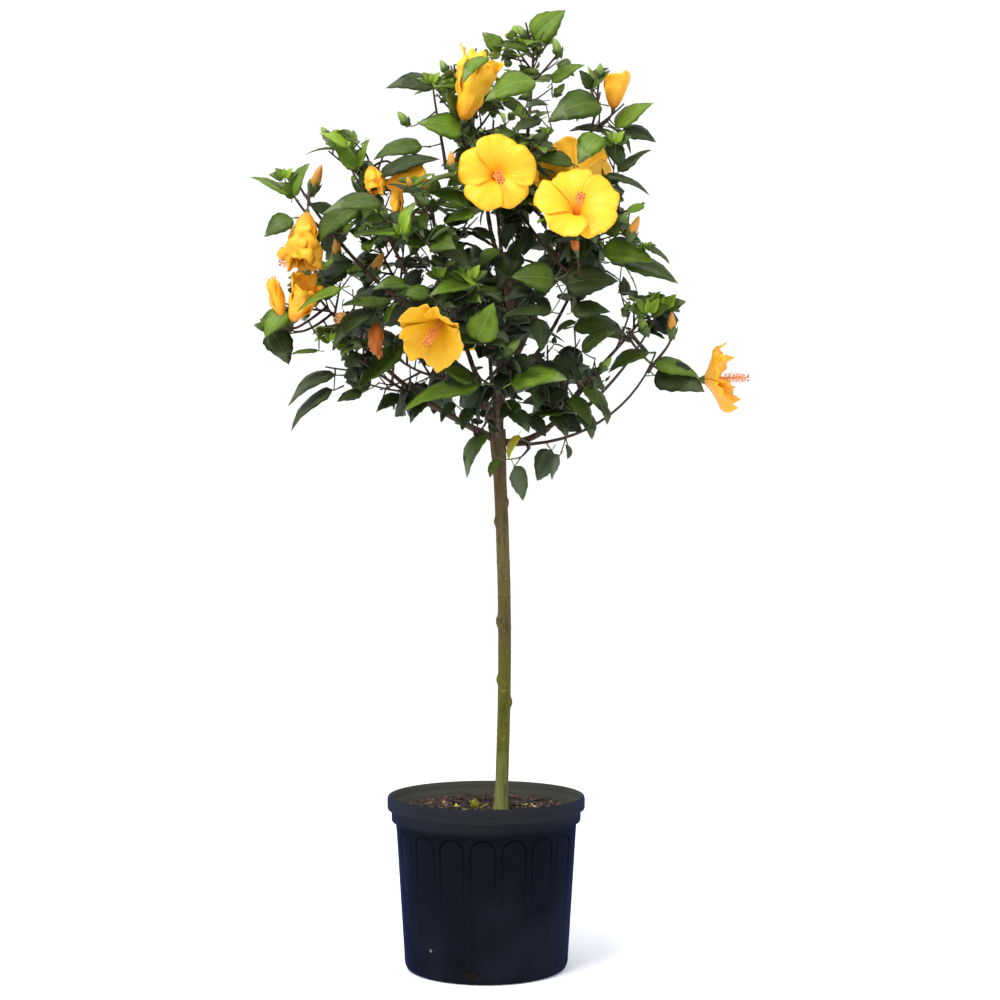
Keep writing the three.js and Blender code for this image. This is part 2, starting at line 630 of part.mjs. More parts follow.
for (const [name, limb] of Object.entries(limbs)) {
  keepClear(limb.curve, 14, (t) => limb.radiusAt(t) + LIMB_CLEARANCE, `limb ${name}`);
}
for (const space of spaces) {
  space.stem = stemLine(space);
  space.flowerShoots = [];
}
for (const flower of [...openFlowers, ...closedFlowers]) {
  const space = spaces.find(({ name }) => name === flower.space);
  const way = heading(flower.turn, flower.rise);
  const foot = vector(flower.foot ?? flower.mouth);
  if (flower.mouth) foot.addScaledVector(way, -FLOWER_DEPTH * flower.width);
  const shoot = flowerShoot(space, foot, way);
  space.flowerShoots.push(shoot);
  keepClear(shoot, 5, () => SHOOT_RADIUS + LIMB_CLEARANCE, flower.space);
  const start = flower.foot
    ? foot.clone().addScaledVector(way, 0.3 * flower.length)
    : vector(flower.mouth).addScaledVector(way, 0.15 * flower.width);
  const end = flower.foot
    ? foot.clone().addScaledVector(way, 0.8 * flower.length)
    : start.clone().addScaledVector(way, FLOWER_OUTLOOK);
  keepClear(new THREE.LineCurve3(start, end), 1, () => FLOWER_CLEARANCE * flower.width + 1, 'flower');
}

function growMass(space, seed) {
  const roll = diceFrom(seed);
  const shoots = [...space.flowerShoots];
  for (let i = 0; i < space.shoots; i += 1) {
    const t = lerp(SHOOTS_START, SHOOTS_END, (i + roll(0.1, 0.9)) / space.shoots);
    const turn = i * GOLDEN_TURN + roll(-SHOOT_TURN_SLACK, SHOOT_TURN_SLACK);
    const spread = SHOOT_SPREAD + roll(-SHOOT_SPREAD_SLACK, SHOOT_SPREAD_SLACK);
    const aim = leaning(space.stem.getTangent(t), turn, spread);
    aim.addScaledVector(UP, SHOOT_LIFT).normalize();
    shoots.push(...sideShoot(space, chordPoint(space.stem, t), aim));
  }
  const lines = [space.stem, ...shoots];
  const taken = lines.flatMap((line) => line.getSpacedPoints(Math.ceil(line.getLength() / TWIG_MARKS)))
    .map((point) => ({ point, apart: TWIG_APART }));
  const leaves = [...shoots, space.stem].flatMap((line) => leavesAlong(space, taken, line, roll));
  const isBare = (shoot) => leaves.every(({ twig }) => twig !== shoot);
  const kept = shoots.filter((shoot) => space.flowerShoots.includes(shoot) || !isBare(shoot));
  const belongs = (flower) => flower.space === space.name;
  const stem = { curve: space.stem, radiusAt: (t) => lerp(BOUGH_TIP_RADIUS, STEM_TIP_RADIUS, t) };
  const slim = (curve) => ({ curve, radiusAt: (t) => lerp(SHOOT_RADIUS, SHOOT_TIP_RADIUS, t) });
  return mainBody(wasm.Manifold.union([
    limbSolid(stem, 4, TWIG_STEPS),
    ...kept.map((shoot) => limbSolid(slim(shoot), 3, shoot.isLineCurve3 ? 1 : TWIG_STEPS)),
    ...leaves.map(leafSolid),
    ...openFlowers.filter(belongs).flatMap(openFlowerSolids),
    ...closedFlowers.filter(belongs).map((flower) => closedFlowerSolid(flower, roll)),
  ])).simplify(SIMPLIFIED);
}

// The whole plant
const plant = new THREE.Group();
plant.add(meshFrom('pot', makePot(), colours.pot, 0.45));
plant.add(meshFrom('soil', makeSoil(), colours.soil, 1));
const trunk = makeTrunk(limbs.trunk);
plant.add(meshFrom('trunk', trunk.solid, colours.bark, 0.9));

let limbCutter = trunk.cutter;
for (const { name } of spaces) {
  const bough = mainBody(limbSolid(limbs[name], BOUGH_SIDES, BOUGH_STEPS).subtract(limbCutter));
  plant.add(meshFrom(`${name}_bough`, bough, colours.twig, 0.9));
  limbCutter = limbCutter.add(limbSolid(limbs[name], BOUGH_SIDES, BOUGH_STEPS, SEAT_GAP));
}
spaces.forEach((space, i) => {
  plant.add(meshFrom(`${space.name}_foliage`, growMass(space, i + 1), colours.leaf, 0.7));
});

export default plant;
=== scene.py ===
# %% [markdown]
# # A yellow hibiscus standard in its nursery pot
#
# The real thing is a hibiscus trained as a little tree: one bare olive-brown trunk, a fork,
# a round open crown of dark toothed leaves and big yellow flowers, and a black fluted pot.
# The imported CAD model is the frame. It gives every limb and every mass of leaves its place,
# and this lesson dresses it, one kind of piece at a time.

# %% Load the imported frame
import json
import math

import bmesh
import bpy
import numpy as np
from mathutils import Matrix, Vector, noise

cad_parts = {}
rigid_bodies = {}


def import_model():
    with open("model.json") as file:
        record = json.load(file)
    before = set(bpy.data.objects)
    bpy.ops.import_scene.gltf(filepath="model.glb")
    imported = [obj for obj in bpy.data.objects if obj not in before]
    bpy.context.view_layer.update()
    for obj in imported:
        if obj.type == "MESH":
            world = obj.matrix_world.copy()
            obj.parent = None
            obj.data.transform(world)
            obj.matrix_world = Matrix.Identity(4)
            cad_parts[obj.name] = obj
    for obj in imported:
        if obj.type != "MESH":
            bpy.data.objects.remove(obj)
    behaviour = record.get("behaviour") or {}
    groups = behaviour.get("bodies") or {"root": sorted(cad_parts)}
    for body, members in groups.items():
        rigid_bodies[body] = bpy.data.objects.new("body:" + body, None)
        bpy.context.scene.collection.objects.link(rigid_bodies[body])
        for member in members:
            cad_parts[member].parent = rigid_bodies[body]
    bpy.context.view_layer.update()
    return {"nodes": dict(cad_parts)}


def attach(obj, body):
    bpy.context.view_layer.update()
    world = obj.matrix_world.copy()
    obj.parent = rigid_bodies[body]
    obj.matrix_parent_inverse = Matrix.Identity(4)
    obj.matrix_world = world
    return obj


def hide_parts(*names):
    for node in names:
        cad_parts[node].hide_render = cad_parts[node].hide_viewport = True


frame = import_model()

foliage_nodes = [name for name in frame["nodes"] if name.endswith("_foliage")]
bough_nodes = [name for name in frame["nodes"] if name.endswith("_bough")]

# %% [markdown]
# ## The camera
#
# The eye is 2.4 m from the pot's axis and level with the upper part of the bare trunk, so the
# pot is seen a little from above and the crown a little from below, as somebody crouching
# would see them. A fairly long lens keeps the trunk straight. The camera comes first, because
# the marked leaves and buds are later set out along its lines of sight.

# %% Camera
MM = 0.001
EYE_DISTANCE, EYE_HEIGHT = 2400, 581
EYE = Vector((0, -EYE_DISTANCE / 1000, EYE_HEIGHT / 1000))
AIM_POINT = Vector((0.0178, 0, 0.599))
LENS, SENSOR = 67.03, 36


def add_object(name, data):
    made = bpy.data.objects.new(name, data)
    bpy.context.scene.collection.objects.link(made)
    return made


def add_aimed(name, data, place, target):
    """An object that looks from its place at a target."""
    made = add_object(name, data)
    made.location = place
    made.rotation_euler = (Vector(target) - Vector(place)).to_track_quat("-Z", "Y").to_euler()
    return made


camera_data = bpy.data.cameras.new("camera")
camera_data.lens = LENS
camera_data.sensor_width = SENSOR
camera_data.sensor_fit = "HORIZONTAL"
bpy.context.scene.camera = add_aimed("camera", camera_data, EYE, AIM_POINT)
bpy.context.scene.view_settings.view_transform = "Standard"
print("camera at", tuple(EYE))

# %% [markdown]
# ## The studio
#
# The floor is a plain pale sheet and the world is white, so the plant stands on white as on a
# studio backdrop. One large soft lamp from the upper left gives the leaves their sheen, a
# weaker one fills from the right, and two small blue ones low down rim the sides of the pot.

# %% Floor, world and lamps
FLOOR_HALF = 30
FLOOR_DROP = 0.0004
WORLD_STRENGTH = 1.06
LAMPS = (
    # name, place, target, size, power, colour
    ("key", (-1.2, -1.6, 3.3), (0, 0, 0.8), 1.4, 105, (1, 0.98, 0.93)),
    ("fill", (2.2, -1.8, 1.6), (0, 0, 0.8), 1.6, 8, (0.94, 0.97, 1)),
    ("left_rim", (-0.8, 0.1, 0.22), (0, 0, 0.12), 0.3, 1.6, (0.3, 0.5, 1)),
    ("right_rim", (0.8, 0.1, 0.22), (0, 0, 0.12), 0.3, 1.6, (0.3, 0.5, 1)),
)

paper = bpy.data.materials.new("floor_paper")
paper.use_nodes = True
paper_shader = paper.node_tree.nodes["Principled BSDF"]
paper_shader.inputs["Base Color"].default_value = (0.98, 0.98, 0.98, 1)
paper_shader.inputs["Roughness"].default_value = 0.9

floor_mesh = bpy.data.meshes.new("floor")
floor_bm = bmesh.new()
bmesh.ops.create_grid(floor_bm, x_segments=1, y_segments=1, size=FLOOR_HALF)
bmesh.ops.translate(floor_bm, verts=floor_bm.verts, vec=(0, 0, -FLOOR_DROP))
floor_bm.to_mesh(floor_mesh)
floor_bm.free()
floor_mesh.materials.append(paper)
floor = add_object("floor", floor_mesh)

world = bpy.data.worlds.new("studio")
world.use_nodes = True
world.node_tree.nodes["Background"].inputs["Color"].default_value = (1, 1, 1, 1)
world.node_tree.nodes["Background"].inputs["Strength"].default_value = WORLD_STRENGTH
bpy.context.scene.world = world

for name, place, target, size, power, colour in LAMPS:
    lamp = bpy.data.lights.new(name, "AREA")
    lamp.size, lamp.energy, lamp.color = size, power, colour
    add_aimed(name, lamp, place, target)
print("studio:", len(LAMPS), "lamps")

# %% [markdown]
# ## Writing finishes as sums
#
# A node tree is easier to read as a formula. A Wire wraps one output socket, and adding or
# multiplying wires adds the Math nodes. A Finish is a material in the making, with one method
# that adds any node: its kind, its settings, and the values or wires of its sockets.

# %% Wires and finishes
class Wire:
    """One output socket, which takes part in sums with numbers and other wires."""

    def __init__(self, finish, socket):
        self.finish = finish
        self.socket = socket

    def maths(self, operation, first, second):
        return self.finish.node("Math", {"operation": operation}, {0: first, 1: second})

    def __add__(self, other):
        return self.maths("ADD", self, other)

    def __sub__(self, other):
        return self.maths("SUBTRACT", self, other)

    def __rsub__(self, other):
        return self.maths("SUBTRACT", other, self)

    def __mul__(self, other):
        return self.maths("MULTIPLY", self, other)

    __radd__ = __add__
    __rmul__ = __mul__


class Finish:
    """A node material in the making."""

    def __init__(self, name):
        self.material = bpy.data.materials.new(name)
        self.material.use_nodes = True
        self.tree = self.material.node_tree
        self.shader = self.tree.nodes["Principled BSDF"]

    def node(self, kind, settings=None, values=None, output=0):
        """Any node: its kind, its settings, the values of its sockets, and which output counts."""
        made = self.tree.nodes.new("ShaderNode" + kind)
        for key, value in (settings or {}).items():
            if key == "stops":
                self.set_stops(made.color_ramp, value)
            else:
                setattr(made, key, value)
        for key, value in (values or {}).items():
            self.feed(made.inputs[key], value)
        return Wire(self, made.outputs[output])

    def set_stops(self, ramp, stops):
        while len(ramp.elements) < len(stops):
            ramp.elements.new(0.5)
        for element, (place, code) in zip(ramp.elements, stops):
            element.position = place
            element.color = (*tint(code), 1)

    def feed(self, socket, value):
        if isinstance(value, Wire):
            self.tree.links.new(value.socket, socket)
        elif isinstance(value, tuple) and len(value) == 3 and len(socket.default_value) == 4:
            socket.default_value = (*value, 1)
        else:
            socket.default_value = value

    def place(self, scale=(1, 1, 1)):
        """Object coordinates in metres, stretched by a scale."""
        where = self.node("TexCoord", output="Object")
        return self.node("Mapping", None, {"Vector": where, "Scale": scale})

    def cloud(self, scale, detail, stretch=(1, 1, 1)):
        """Soft noise between 0 and 1."""
        values = {"Scale": scale, "Detail": detail, "Roughness": 0.55}
        return self.node("TexNoise", None, {"Vector": self.place(stretch), **values})

    def mix(self, first, second, share):
        return self.node("Mix", {"data_type": "RGBA"}, {0: share, 6: first, 7: second}, 2)

    def parts(self, vector):
        """The three numbers of a vector, each as a wire."""
        return [self.node("SeparateXYZ", None, {"Vector": vector}, i) for i in range(3)]

    def ramp(self, share, stops):
        return self.node("ValToRGB", {"stops": stops}, {"Fac": share})

    def stretch(self, share, low, high, to_low=0.0, to_high=1.0):
        """Maps low..high of a wire to another range, and holds it there."""
        values = {"Value": share, 1: low, 2: high, 3: to_low, 4: to_high}
        return self.node("MapRange", {"clamp": True}, values)

    def bump(self, height, depth, strength):
        return self.node("Bump", None, {"Height": height, "Distance": depth, "Strength": strength})

    def set(self, **sockets):
        for key, value in sockets.items():
            self.feed(self.shader.inputs[key.replace("_", " ")], value)
        return self.material


def tint(code):
    """A colour written as on a paint chart, as the linear numbers that Blender mixes."""
    parts = [int(code[i:i + 2], 16) / 255 for i in (0, 2, 4)]
    return tuple(p / 12.92 if p <= 0.04045 else ((p + 0.055) / 1.055) ** 2.4 for p in parts)


def drifting(name, code, drift, roughness, shine=0.5):
    """A finish of one colour that drifts a little towards another."""
    finish = Finish(name)
    finish.set(Base_Color=finish.mix(tint(code), tint(drift), finish.cloud(140, 3)))
    finish.set(Roughness=roughness, Specular_IOR_Level=shine)
    return finish.material


print("finishes are ready")

# %% [markdown]
# ## Pieces from repeated shapes
#
# A plant is a few shapes repeated many times. Each shape is modelled once with bmesh and kept
# as arrays. A Heap gathers bent, turned and scaled copies, and becomes one mesh at the end.
# Everything is worked out in millimetres, as on a drawing, and turned to metres there.

# %% Shapes and heaps
def shape_of(bm):
    """A small mesh as arrays, ready to be repeated."""
    bm.verts.ensure_lookup_table()
    shape = {
        "points": np.array([v.co for v in bm.verts]),
        "faces": [[v.index for v in f.verts] for f in bm.faces],
        "paints": [f.material_index for f in bm.faces],
    }
    bm.free()
    return shape


class Heap:
    """Copies of shapes, gathered into one mesh."""

    def __init__(self):
        self.points = []
        self.faces = []
        self.paints = []
        self.maps = []
        self.count = 0

    def add(self, shape, points, paint=0, flat_map=None):
        self.points.append(points)
        self.faces += [[i + self.count for i in face] for face in shape["faces"]]
        self.paints += [paint + p for p in shape["paints"]]
        if flat_map is not None:
            self.maps.append(flat_map)
        self.count += len(points)

    def piece(self, name, slot, materials, stands_for=(), smooth=True):
        """Makes the object, lets it ride on the plant and hides the CAD nodes that it stands for.
        """
        mesh = bpy.data.meshes.new(name)
        points = np.concatenate(self.points) * MM
        mesh.from_pydata(points.tolist(), [], self.faces)
        mesh.polygons.foreach_set("material_index", self.paints)
        mesh.polygons.foreach_set("use_smooth", [smooth] * len(self.faces))
        if self.maps:
            corner = np.empty(len(mesh.loops), int)
            mesh.loops.foreach_get("vertex_index", corner)
            layer = mesh.uv_layers.new(name="along_the_petal")
            layer.data.foreach_set("uv", np.concatenate(self.maps)[corner].ravel())
        for material in materials:
            mesh.materials.append(material)
        mesh.update()
        made = add_object(name, mesh)
        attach(made, "root")
        if stands_for:
            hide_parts(*stands_for)
        print(name, len(points), "points", sum(len(f) - 2 for f in self.faces), "triangles")
        return made


def finished(bm, name, slot, materials, stands_for):
    """One bmesh, drawn in millimetres, as a piece."""
    heap = Heap()
    shape = shape_of(bm)
    heap.add(shape, shape["points"])
    heap.piece(name, slot, materials, stands_for)


def round_z(points, turn):
    """Points turned about the upright axis."""
    c, s = math.cos(turn), math.sin(turn)
    return points @ np.array([[c, s, 0], [-s, c, 0], [0, 0, 1]])


def step_between(value, low, high):
    """A soft step from 0 at low to 1 at high."""
    share = np.clip((value - low) / (high - low), 0, 1)
    return share * share * (3 - 2 * share)


def grain(points, scale, seed):
    """Noise at each of many points, which lie in millimetres."""
    return np.array([noise.noise(Vector(p) * scale + Vector((seed, 0, 0))) for p in points])


# %% [markdown]
# ## The nursery pot
#
# A moulded pot is a turned shape, so its wall is drawn as one closed outline and spun. The
# flutes are what makes it this pot: eighteen shallow panels with round arched tops, pressed
# into the wall between narrow ribs. They are pressed in after the spin, by moving the outer
# wall's points inwards, and the four drain holes at the heel are pressed deeper still. The
# small round nub low on the wall is where the moulding's gate was cut off.

# %% Pot wall
def turned(outline, steps):
    """A closed solid, spun from an outline that starts and ends on the axis."""
    bm = bmesh.new()
    points = [bm.verts.new((r, 0, z)) for r, z in outline]
    lines = [bm.edges.new(pair) for pair in zip(points, points[1:])]
    bmesh.ops.spin(
        bm, geom=points + lines, cent=(0, 0, 0), axis=(0, 0, 1), angle=math.tau,
        steps=steps, use_merge=True, use_normal_flip=False, use_duplicate=False,
    )
    bmesh.ops.remove_doubles(bm, verts=bm.verts, dist=0.001)
    bmesh.ops.recalc_face_normals(bm, faces=bm.faces)
    return bm


COLLAR_FOOT = 187
HEEL_RADIUS = 104.8
BODY_TOP_RADIUS = 116.2
LINER_FOOT_RADIUS = 101.3
LINER_TOP_RADIUS = 112.7
STRAIGHT_FROM = 7
SPIN_STEPS = 540


def wall_radius(height, foot, top):
    """The radius of the straight cone between the heel and the collar."""
    return foot + (top - foot) * (height - STRAIGHT_FROM) / (COLLAR_FOOT - STRAIGHT_FROM)


body_heights = [*np.arange(7.5, 19, 1.15), *np.arange(20, 158, 4.6), *np.arange(159, 184, 1.25)]
outline = [(0, 0), (60, 0), (98, 0), (100.6, 0.7), (102.8, 2.4), (104.2, 4.8)]
outline += [(wall_radius(z, HEEL_RADIUS, BODY_TOP_RADIUS), z) for z in body_heights]
outline += [
    (116.2, 185.6), (116.8, 186.6), (119.6, 187.1), (121, 188), (121.5, 189.6), (121.6, 195),
    (121.6, 200.6), (122.2, 202), (125, 202.5), (126.4, 203.3), (126.9, 204.9), (126.9, 208),
    (126.3, 209), (126.3, 209.8), (127, 210.8), (127, 215), (126.6, 217.6), (125.7, 219.3),
    (124.4, 220), (123.2, 219.7), (122.5, 218.6), (121.8, 213), (121.5, 208.5), (120.5, 207.6),
    (119.6, 204), (119.3, 201.8), (118.3, 201.2), (117.9, 197), (117.5, 196.2), (116.2, 195.8),
    (115.4, 191), (112.7, 186), (107, 95), (LINER_FOOT_RADIUS, 4), (99, 3), (50, 3), (0, 3),
]
pot_bm = turned(outline, SPIN_STEPS)
print("pot wall spun:", len(pot_bm.faces), "faces")

# %% Flutes and drain holes
FLUTES = 18
FLUTE_PITCH = 360 / FLUTES
FLUTE_FIRST_TURN = -2.2
FLUTE_DEPTH = 0.4
FLUTE_GROOVE = 1.1
FLUTE_GROOVE_HALF = 0.09
PANEL_HALF = 8.6
ARCH_FOOT = 165
ARCH_HEIGHT = 16
DRAIN_FIRST_TURN = -10
DRAIN_HALF_WIDTH = 11.5
DRAIN_HALF_HEIGHT = 6.2
DRAIN_CENTRE = 12.2
DRAIN_DEPTH = 2.6
DRAIN_PITCH = 90
GATE_TURN = -40
GATE_HEIGHT = 38
GATE_SIZE = 2.2
GATE_STANDS_OUT = 1.5
GATE_WALL_RADIUS = 0.107
MM_PER_DEGREE = 1.85
OUTSIDE_FROM, HEEL_SLACK = 1.6, 4
PRESSED_FROM, PRESSED_TO = 0.1, 184.5
HOLES_BELOW = 25


def pressed_in(turn, height):
    """How far the wall is pressed in: a panel with a groove round its edge."""
    across = (turn - FLUTE_FIRST_TURN + FLUTE_PITCH / 2) % FLUTE_PITCH - FLUTE_PITCH / 2
    above = max(0.0, (height - ARCH_FOOT) / ARCH_HEIGHT)
    edge = math.hypot(across / PANEL_HALF, above)
    panel = 1 - step_between(edge, 0.8, 1.0)
    groove = math.exp(-(((edge - 0.9) / FLUTE_GROOVE_HALF) ** 2))
    groove *= 0.14 + 0.86 * step_between(height, 90, 168)
    gate = math.hypot((turn - GATE_TURN) * MM_PER_DEGREE, height - GATE_HEIGHT)
    gate_bump = GATE_STANDS_OUT * math.exp(-((gate / GATE_SIZE) ** 2))
    pressed = FLUTE_DEPTH * panel + FLUTE_GROOVE * groove - gate_bump
    return pressed * step_between(height, 0.5, 5)


def drained(turn, height, radius):
    """1 inside a drain hole and 0 outside it."""
    across = (turn - DRAIN_FIRST_TURN + DRAIN_PITCH / 2) % DRAIN_PITCH - DRAIN_PITCH / 2
    along = math.radians(across) * radius
    reach = math.hypot(along / DRAIN_HALF_WIDTH, (height - DRAIN_CENTRE) / DRAIN_HALF_HEIGHT)
    return 1 - step_between(reach, 0.84, 1.0)


def round_the_pot(point):
    """A point's radius, its turn from the front, and how far it lies outside of the liner."""
    radius = math.hypot(point.x, point.y)
    turn = math.degrees(math.atan2(point.x, -point.y))
    return radius, turn, radius - wall_radius(point.z, LINER_FOOT_RADIUS, LINER_TOP_RADIUS)


for v in pot_bm.verts:
    radius, turn, outside = round_the_pot(v.co)
    is_outside = outside > OUTSIDE_FROM - HEEL_SLACK * (v.co.z < STRAIGHT_FROM)
    if is_outside and PRESSED_FROM < v.co.z < PRESSED_TO:
        depth = pressed_in(turn, v.co.z)
        depth += (DRAIN_DEPTH - depth) * drained(turn, v.co.z, radius)
        v.co.xy *= (radius - depth) / radius

# the drain holes' faces take the second finish, earth with painted shade
for f in pot_bm.faces:
    centre = f.calc_center_median()
    radius, turn, outside = round_the_pot(centre)
    is_low_outside = outside > 0.4 and centre.z < HOLES_BELOW
    if is_low_outside and drained(turn, centre.z, radius) > 0.9:
        f.material_index = 1
print("flutes:", FLUTES, "panels; drain holes: 4")

# %% [markdown]
# Black moulded polyethylene isn't one flat black. It is a very dark blue-grey, a little
# cloudy, with dusty patches and fine scuffs that break its dull shine, and it looks navy where
# the wall turns away. That last is a thin sheen. The collar and lip are greyer, a painted
# highlight in place of their gloss, and the inside is a lighter warm grey. The grooves round
# the panels hold no light, so the same sum that shaped them, written in the material, darkens
# them as painted shade. A pale dot on the gate's nub is a painted highlight.

# %% Pot finish
def pot_plastic():
    finish = Finish("black_moulded_plastic")
    x, y, height = finish.parts(finish.place())
    pitch = math.radians(FLUTE_PITCH)
    turn = x.maths("ARCTAN2", x, y * -1) - math.radians(FLUTE_FIRST_TURN - FLUTE_PITCH / 2)
    across = turn.maths("FLOORED_MODULO", turn, pitch) - pitch / 2
    across = across * (1 / math.radians(PANEL_HALF))
    above = height.maths("MAXIMUM", (height - ARCH_FOOT * MM) * (1 / (ARCH_HEIGHT * MM)), 0)
    edge = across.maths("SQRT", across * across + above * above, 0)
    from_groove = edge.maths("ABSOLUTE", edge - 0.9, 0)
    groove = finish.stretch(from_groove, 0.02, 0.11, 1, 0)
    groove = groove * finish.stretch(height, 0.1, 0.165, 0.12, 0.85)
    dust = finish.cloud(9, 5)
    dusty = finish.stretch(dust - height * 1.1, 0.36, 0.62)
    scuffs = finish.cloud(60, 4, (1, 1, 0.25))
    colour = finish.mix(tint("0d1018"), tint("181b24"), dusty)
    # painted shade: the grooves round the panels are darkened to near black, less so lower down
    colour = finish.mix(colour, tint("020305"), groove)
    # painted highlight: the collar and lip are a lighter grey in place of their gloss
    collar = finish.stretch(height + dust * 0.02, 0.192, 0.212) * 0.8
    colour = finish.mix(colour, tint("25272b"), collar)
    # painted highlight: a pale grey dot on the gate's nub
    gate_turn = math.radians(GATE_TURN)
    gate_x, gate_y = math.sin(gate_turn) * GATE_WALL_RADIUS, -math.cos(gate_turn) * GATE_WALL_RADIUS
    squares = sum(gap * gap for gap in (x - gate_x, y - gate_y, height - GATE_HEIGHT * MM))
    colour = finish.mix(colour, tint("6d7074"), finish.stretch(squares, 0.000006, 0.000001))
    # the inside of the wall, above the mix, is a lighter warm grey
    radius = height.maths("SQRT", x * x + y * y, 0)
    liner = finish.stretch(height, 0.2012, 0.2022, 0.1203, 0.1236)
    is_inside = finish.stretch(radius - liner, 0.0004, -0.0004)
    is_inside = is_inside * finish.stretch(height, 0.192, 0.195)
    colour = finish.mix(colour, tint("45443d"), is_inside)
    finish.set(Base_Color=colour, Specular_IOR_Level=0.0)
    finish.set(Roughness=finish.stretch(scuffs + dusty * 0.4, 0.3, 1.0, 0.26, 0.5))
    finish.set(Sheen_Weight=0.22, Sheen_Roughness=0.3, Sheen_Tint=(0.01, 0.09, 0.6))
    finish.set(Coat_Weight=0.03, Coat_Roughness=0.35)
    finish.set(Normal=finish.bump(finish.cloud(240, 2) + scuffs, 0.0002, 0.4))
    return finish.material


def dark_earth():
    finish = Finish("damp_potting_mix")
    crumbs = finish.cloud(260, 6)
    stops = ((0.3, "0e0906"), (0.52, "1a120d"), (0.68, "2a1d16"), (0.82, "43362a"))
    finish.set(Base_Color=finish.ramp(crumbs, stops), Roughness=0.95, Specular_IOR_Level=0.2)
    finish.set(Normal=finish.bump(crumbs, 0.002, 0.8))
    return finish.material


earth = dark_earth()
# painted shade and earth: the shallow drain holes get a near-black earth colour for a deep hole's
# dark
hole_shade = drifting("earth_and_painted_shade_in_the_holes", "231d19", "0b0908", 0.9, shine=0.05)
finished(pot_bm, "nursery_pot", "pot", [pot_plastic(), hole_shade], ["pot"])

# %% [markdown]
# ## Potting mix
#
# The mix fills the pot to 25 mm below the rim. It is a spun plug whose top is raised and sunk
# by noise, a little heaped towards the wall, and flat where the trunk comes out. Chips of bark
# and thin shreds are strewn over it, most of them half sunk.

# %% Soil plug
SOIL_TOP = 195
TRUNK_FOOT_X = 18.7
soil_outline = [(0, 3.4), (98, 3.4), (100.8, 6), (106.5, 95), (112.2, 185.5), (114.6, 192)]
soil_outline += [(r, SOIL_TOP) for r in np.linspace(114.9, 4, 44)] + [(0, SOIL_TOP)]
soil_bm = turned(soil_outline, 150)


def soil_height(x, y):
    """The mix's surface: lumps and crumbs, calm round the trunk and drawn up at the wall."""
    calm = step_between(math.hypot(x - TRUNK_FOOT_X, y), 13, 34)
    lumps = noise.noise(Vector((x, y, 3)) * 0.035) * 3.2
    crumbs = noise.noise(Vector((x, y, 9)) * 0.16) * 1.6
    crumbs += noise.noise(Vector((x, y, 5)) * 0.4) * 0.9
    heaped = 3.5 * step_between(math.hypot(x, y), 30, 80)
    return SOIL_TOP + 1.5 + heaped + (lumps + crumbs) * calm


for v in soil_bm.verts:
    if v.co.z > SOIL_TOP - 0.5:
        v.co.z = soil_height(v.co.x, v.co.y)
        v.co.xy *= 1 + 0.022 * step_between(math.hypot(v.co.x, v.co.y), 90, 114)
finished(soil_bm, "potting_mix", "soil", [earth], ["soil"])

# %% Chips of bark on the mix
CHIPS_REACH = 112
CLEAR_OF_TRUNK = 15
CHIP_TILT, CHIP_STANDS_OUT = 0.5, 0.3
strew = np.random.default_rng(7)


def chip_shape(seed):
    """A chip of unit size: a cube with its edges bevelled and its corners pushed about."""
    bm = bmesh.new()
    bmesh.ops.create_cube(bm, size=1)
    bmesh.ops.bevel(
        bm, geom=bm.edges[:], offset=0.16, affect="EDGES", segments=1, profile=0.5, material=-1,
    )
    knocked = np.random.default_rng(seed)
    for v in bm.verts:
        v.co += Vector(knocked.uniform(-0.1, 0.1, 3))
    return shape_of(bm)


CHIP_KINDS = (
    # name, how many, length, width, thickness, colour, drift
    ("dark_bark_chips", 900, (4, 15), (2.5, 7), (1.8, 4.6), "2c1e18", "0e0806"),
    ("red_bark_chips", 230, (4, 14), (2, 6.5), (1.8, 4.4), "5e3729", "28150e"),
    ("brown_bark_chips", 130, (4, 13), (2, 6), (1.4, 3.8), "7d6047", "4a3324"),
    ("pale_shreds", 150, (6, 20), (0.9, 2.6), (0.6, 1.6), "d9cb9e", "a08a62"),
)
chips = [chip_shape(seed) for seed in range(5)]
for name, count, lengths, widths, depths, code, drift in CHIP_KINDS:
    heap = Heap()
    for i in range(count):
        reach = CHIPS_REACH * math.sqrt(strew.uniform(0.0, 1))
        turn = strew.uniform(0, math.tau)
        x, y = reach * math.cos(turn), reach * math.sin(turn)
        size = [strew.uniform(*span) for span in (lengths, widths, depths)]
        spin = strew.uniform(0, math.tau)
        tip = strew.uniform(-CHIP_TILT, CHIP_TILT)
        if math.hypot(x - TRUNK_FOOT_X, y) < CLEAR_OF_TRUNK:
            continue
        chip = chips[i % len(chips)]
        c, s = math.cos(tip), math.sin(tip)
        points = round_z(chip["points"] * size @ np.array([[c, 0, -s], [0, 1, 0], [s, 0, c]]), spin)
        heap.add(chip, points + (x, y, soil_height(x, y) + CHIP_STANDS_OUT * size[2]))
    heap.piece(name, "soil", [drifting(name, code, drift, 0.85)], smooth=False)

# %% [markdown]
# ## Lines, dice and directions
#
# The crown follows the same growth rule as the CAD model, written again here: seeded dice,
# leaves at the golden angle, and a space for each mass that its twigs and leaves never leave.
# These are the rule's small tools. Every line is a Bezier curve of two, three or four points.

# %% Directions and dice
UP = np.array((0.0, 0.0, 1.0))
HEART = np.array((15.0, 0.0, 830.0))
GOLDEN_TURN = 137.5


def unit(v):
    return v / np.linalg.norm(v)


def heading(turn, rise):
    """Direction of a turn from the front towards the right, and a rise above level."""
    t, r = math.radians(turn), math.radians(rise)
    return np.array((math.sin(t) * math.cos(r), -math.cos(t) * math.cos(r), math.sin(r)))


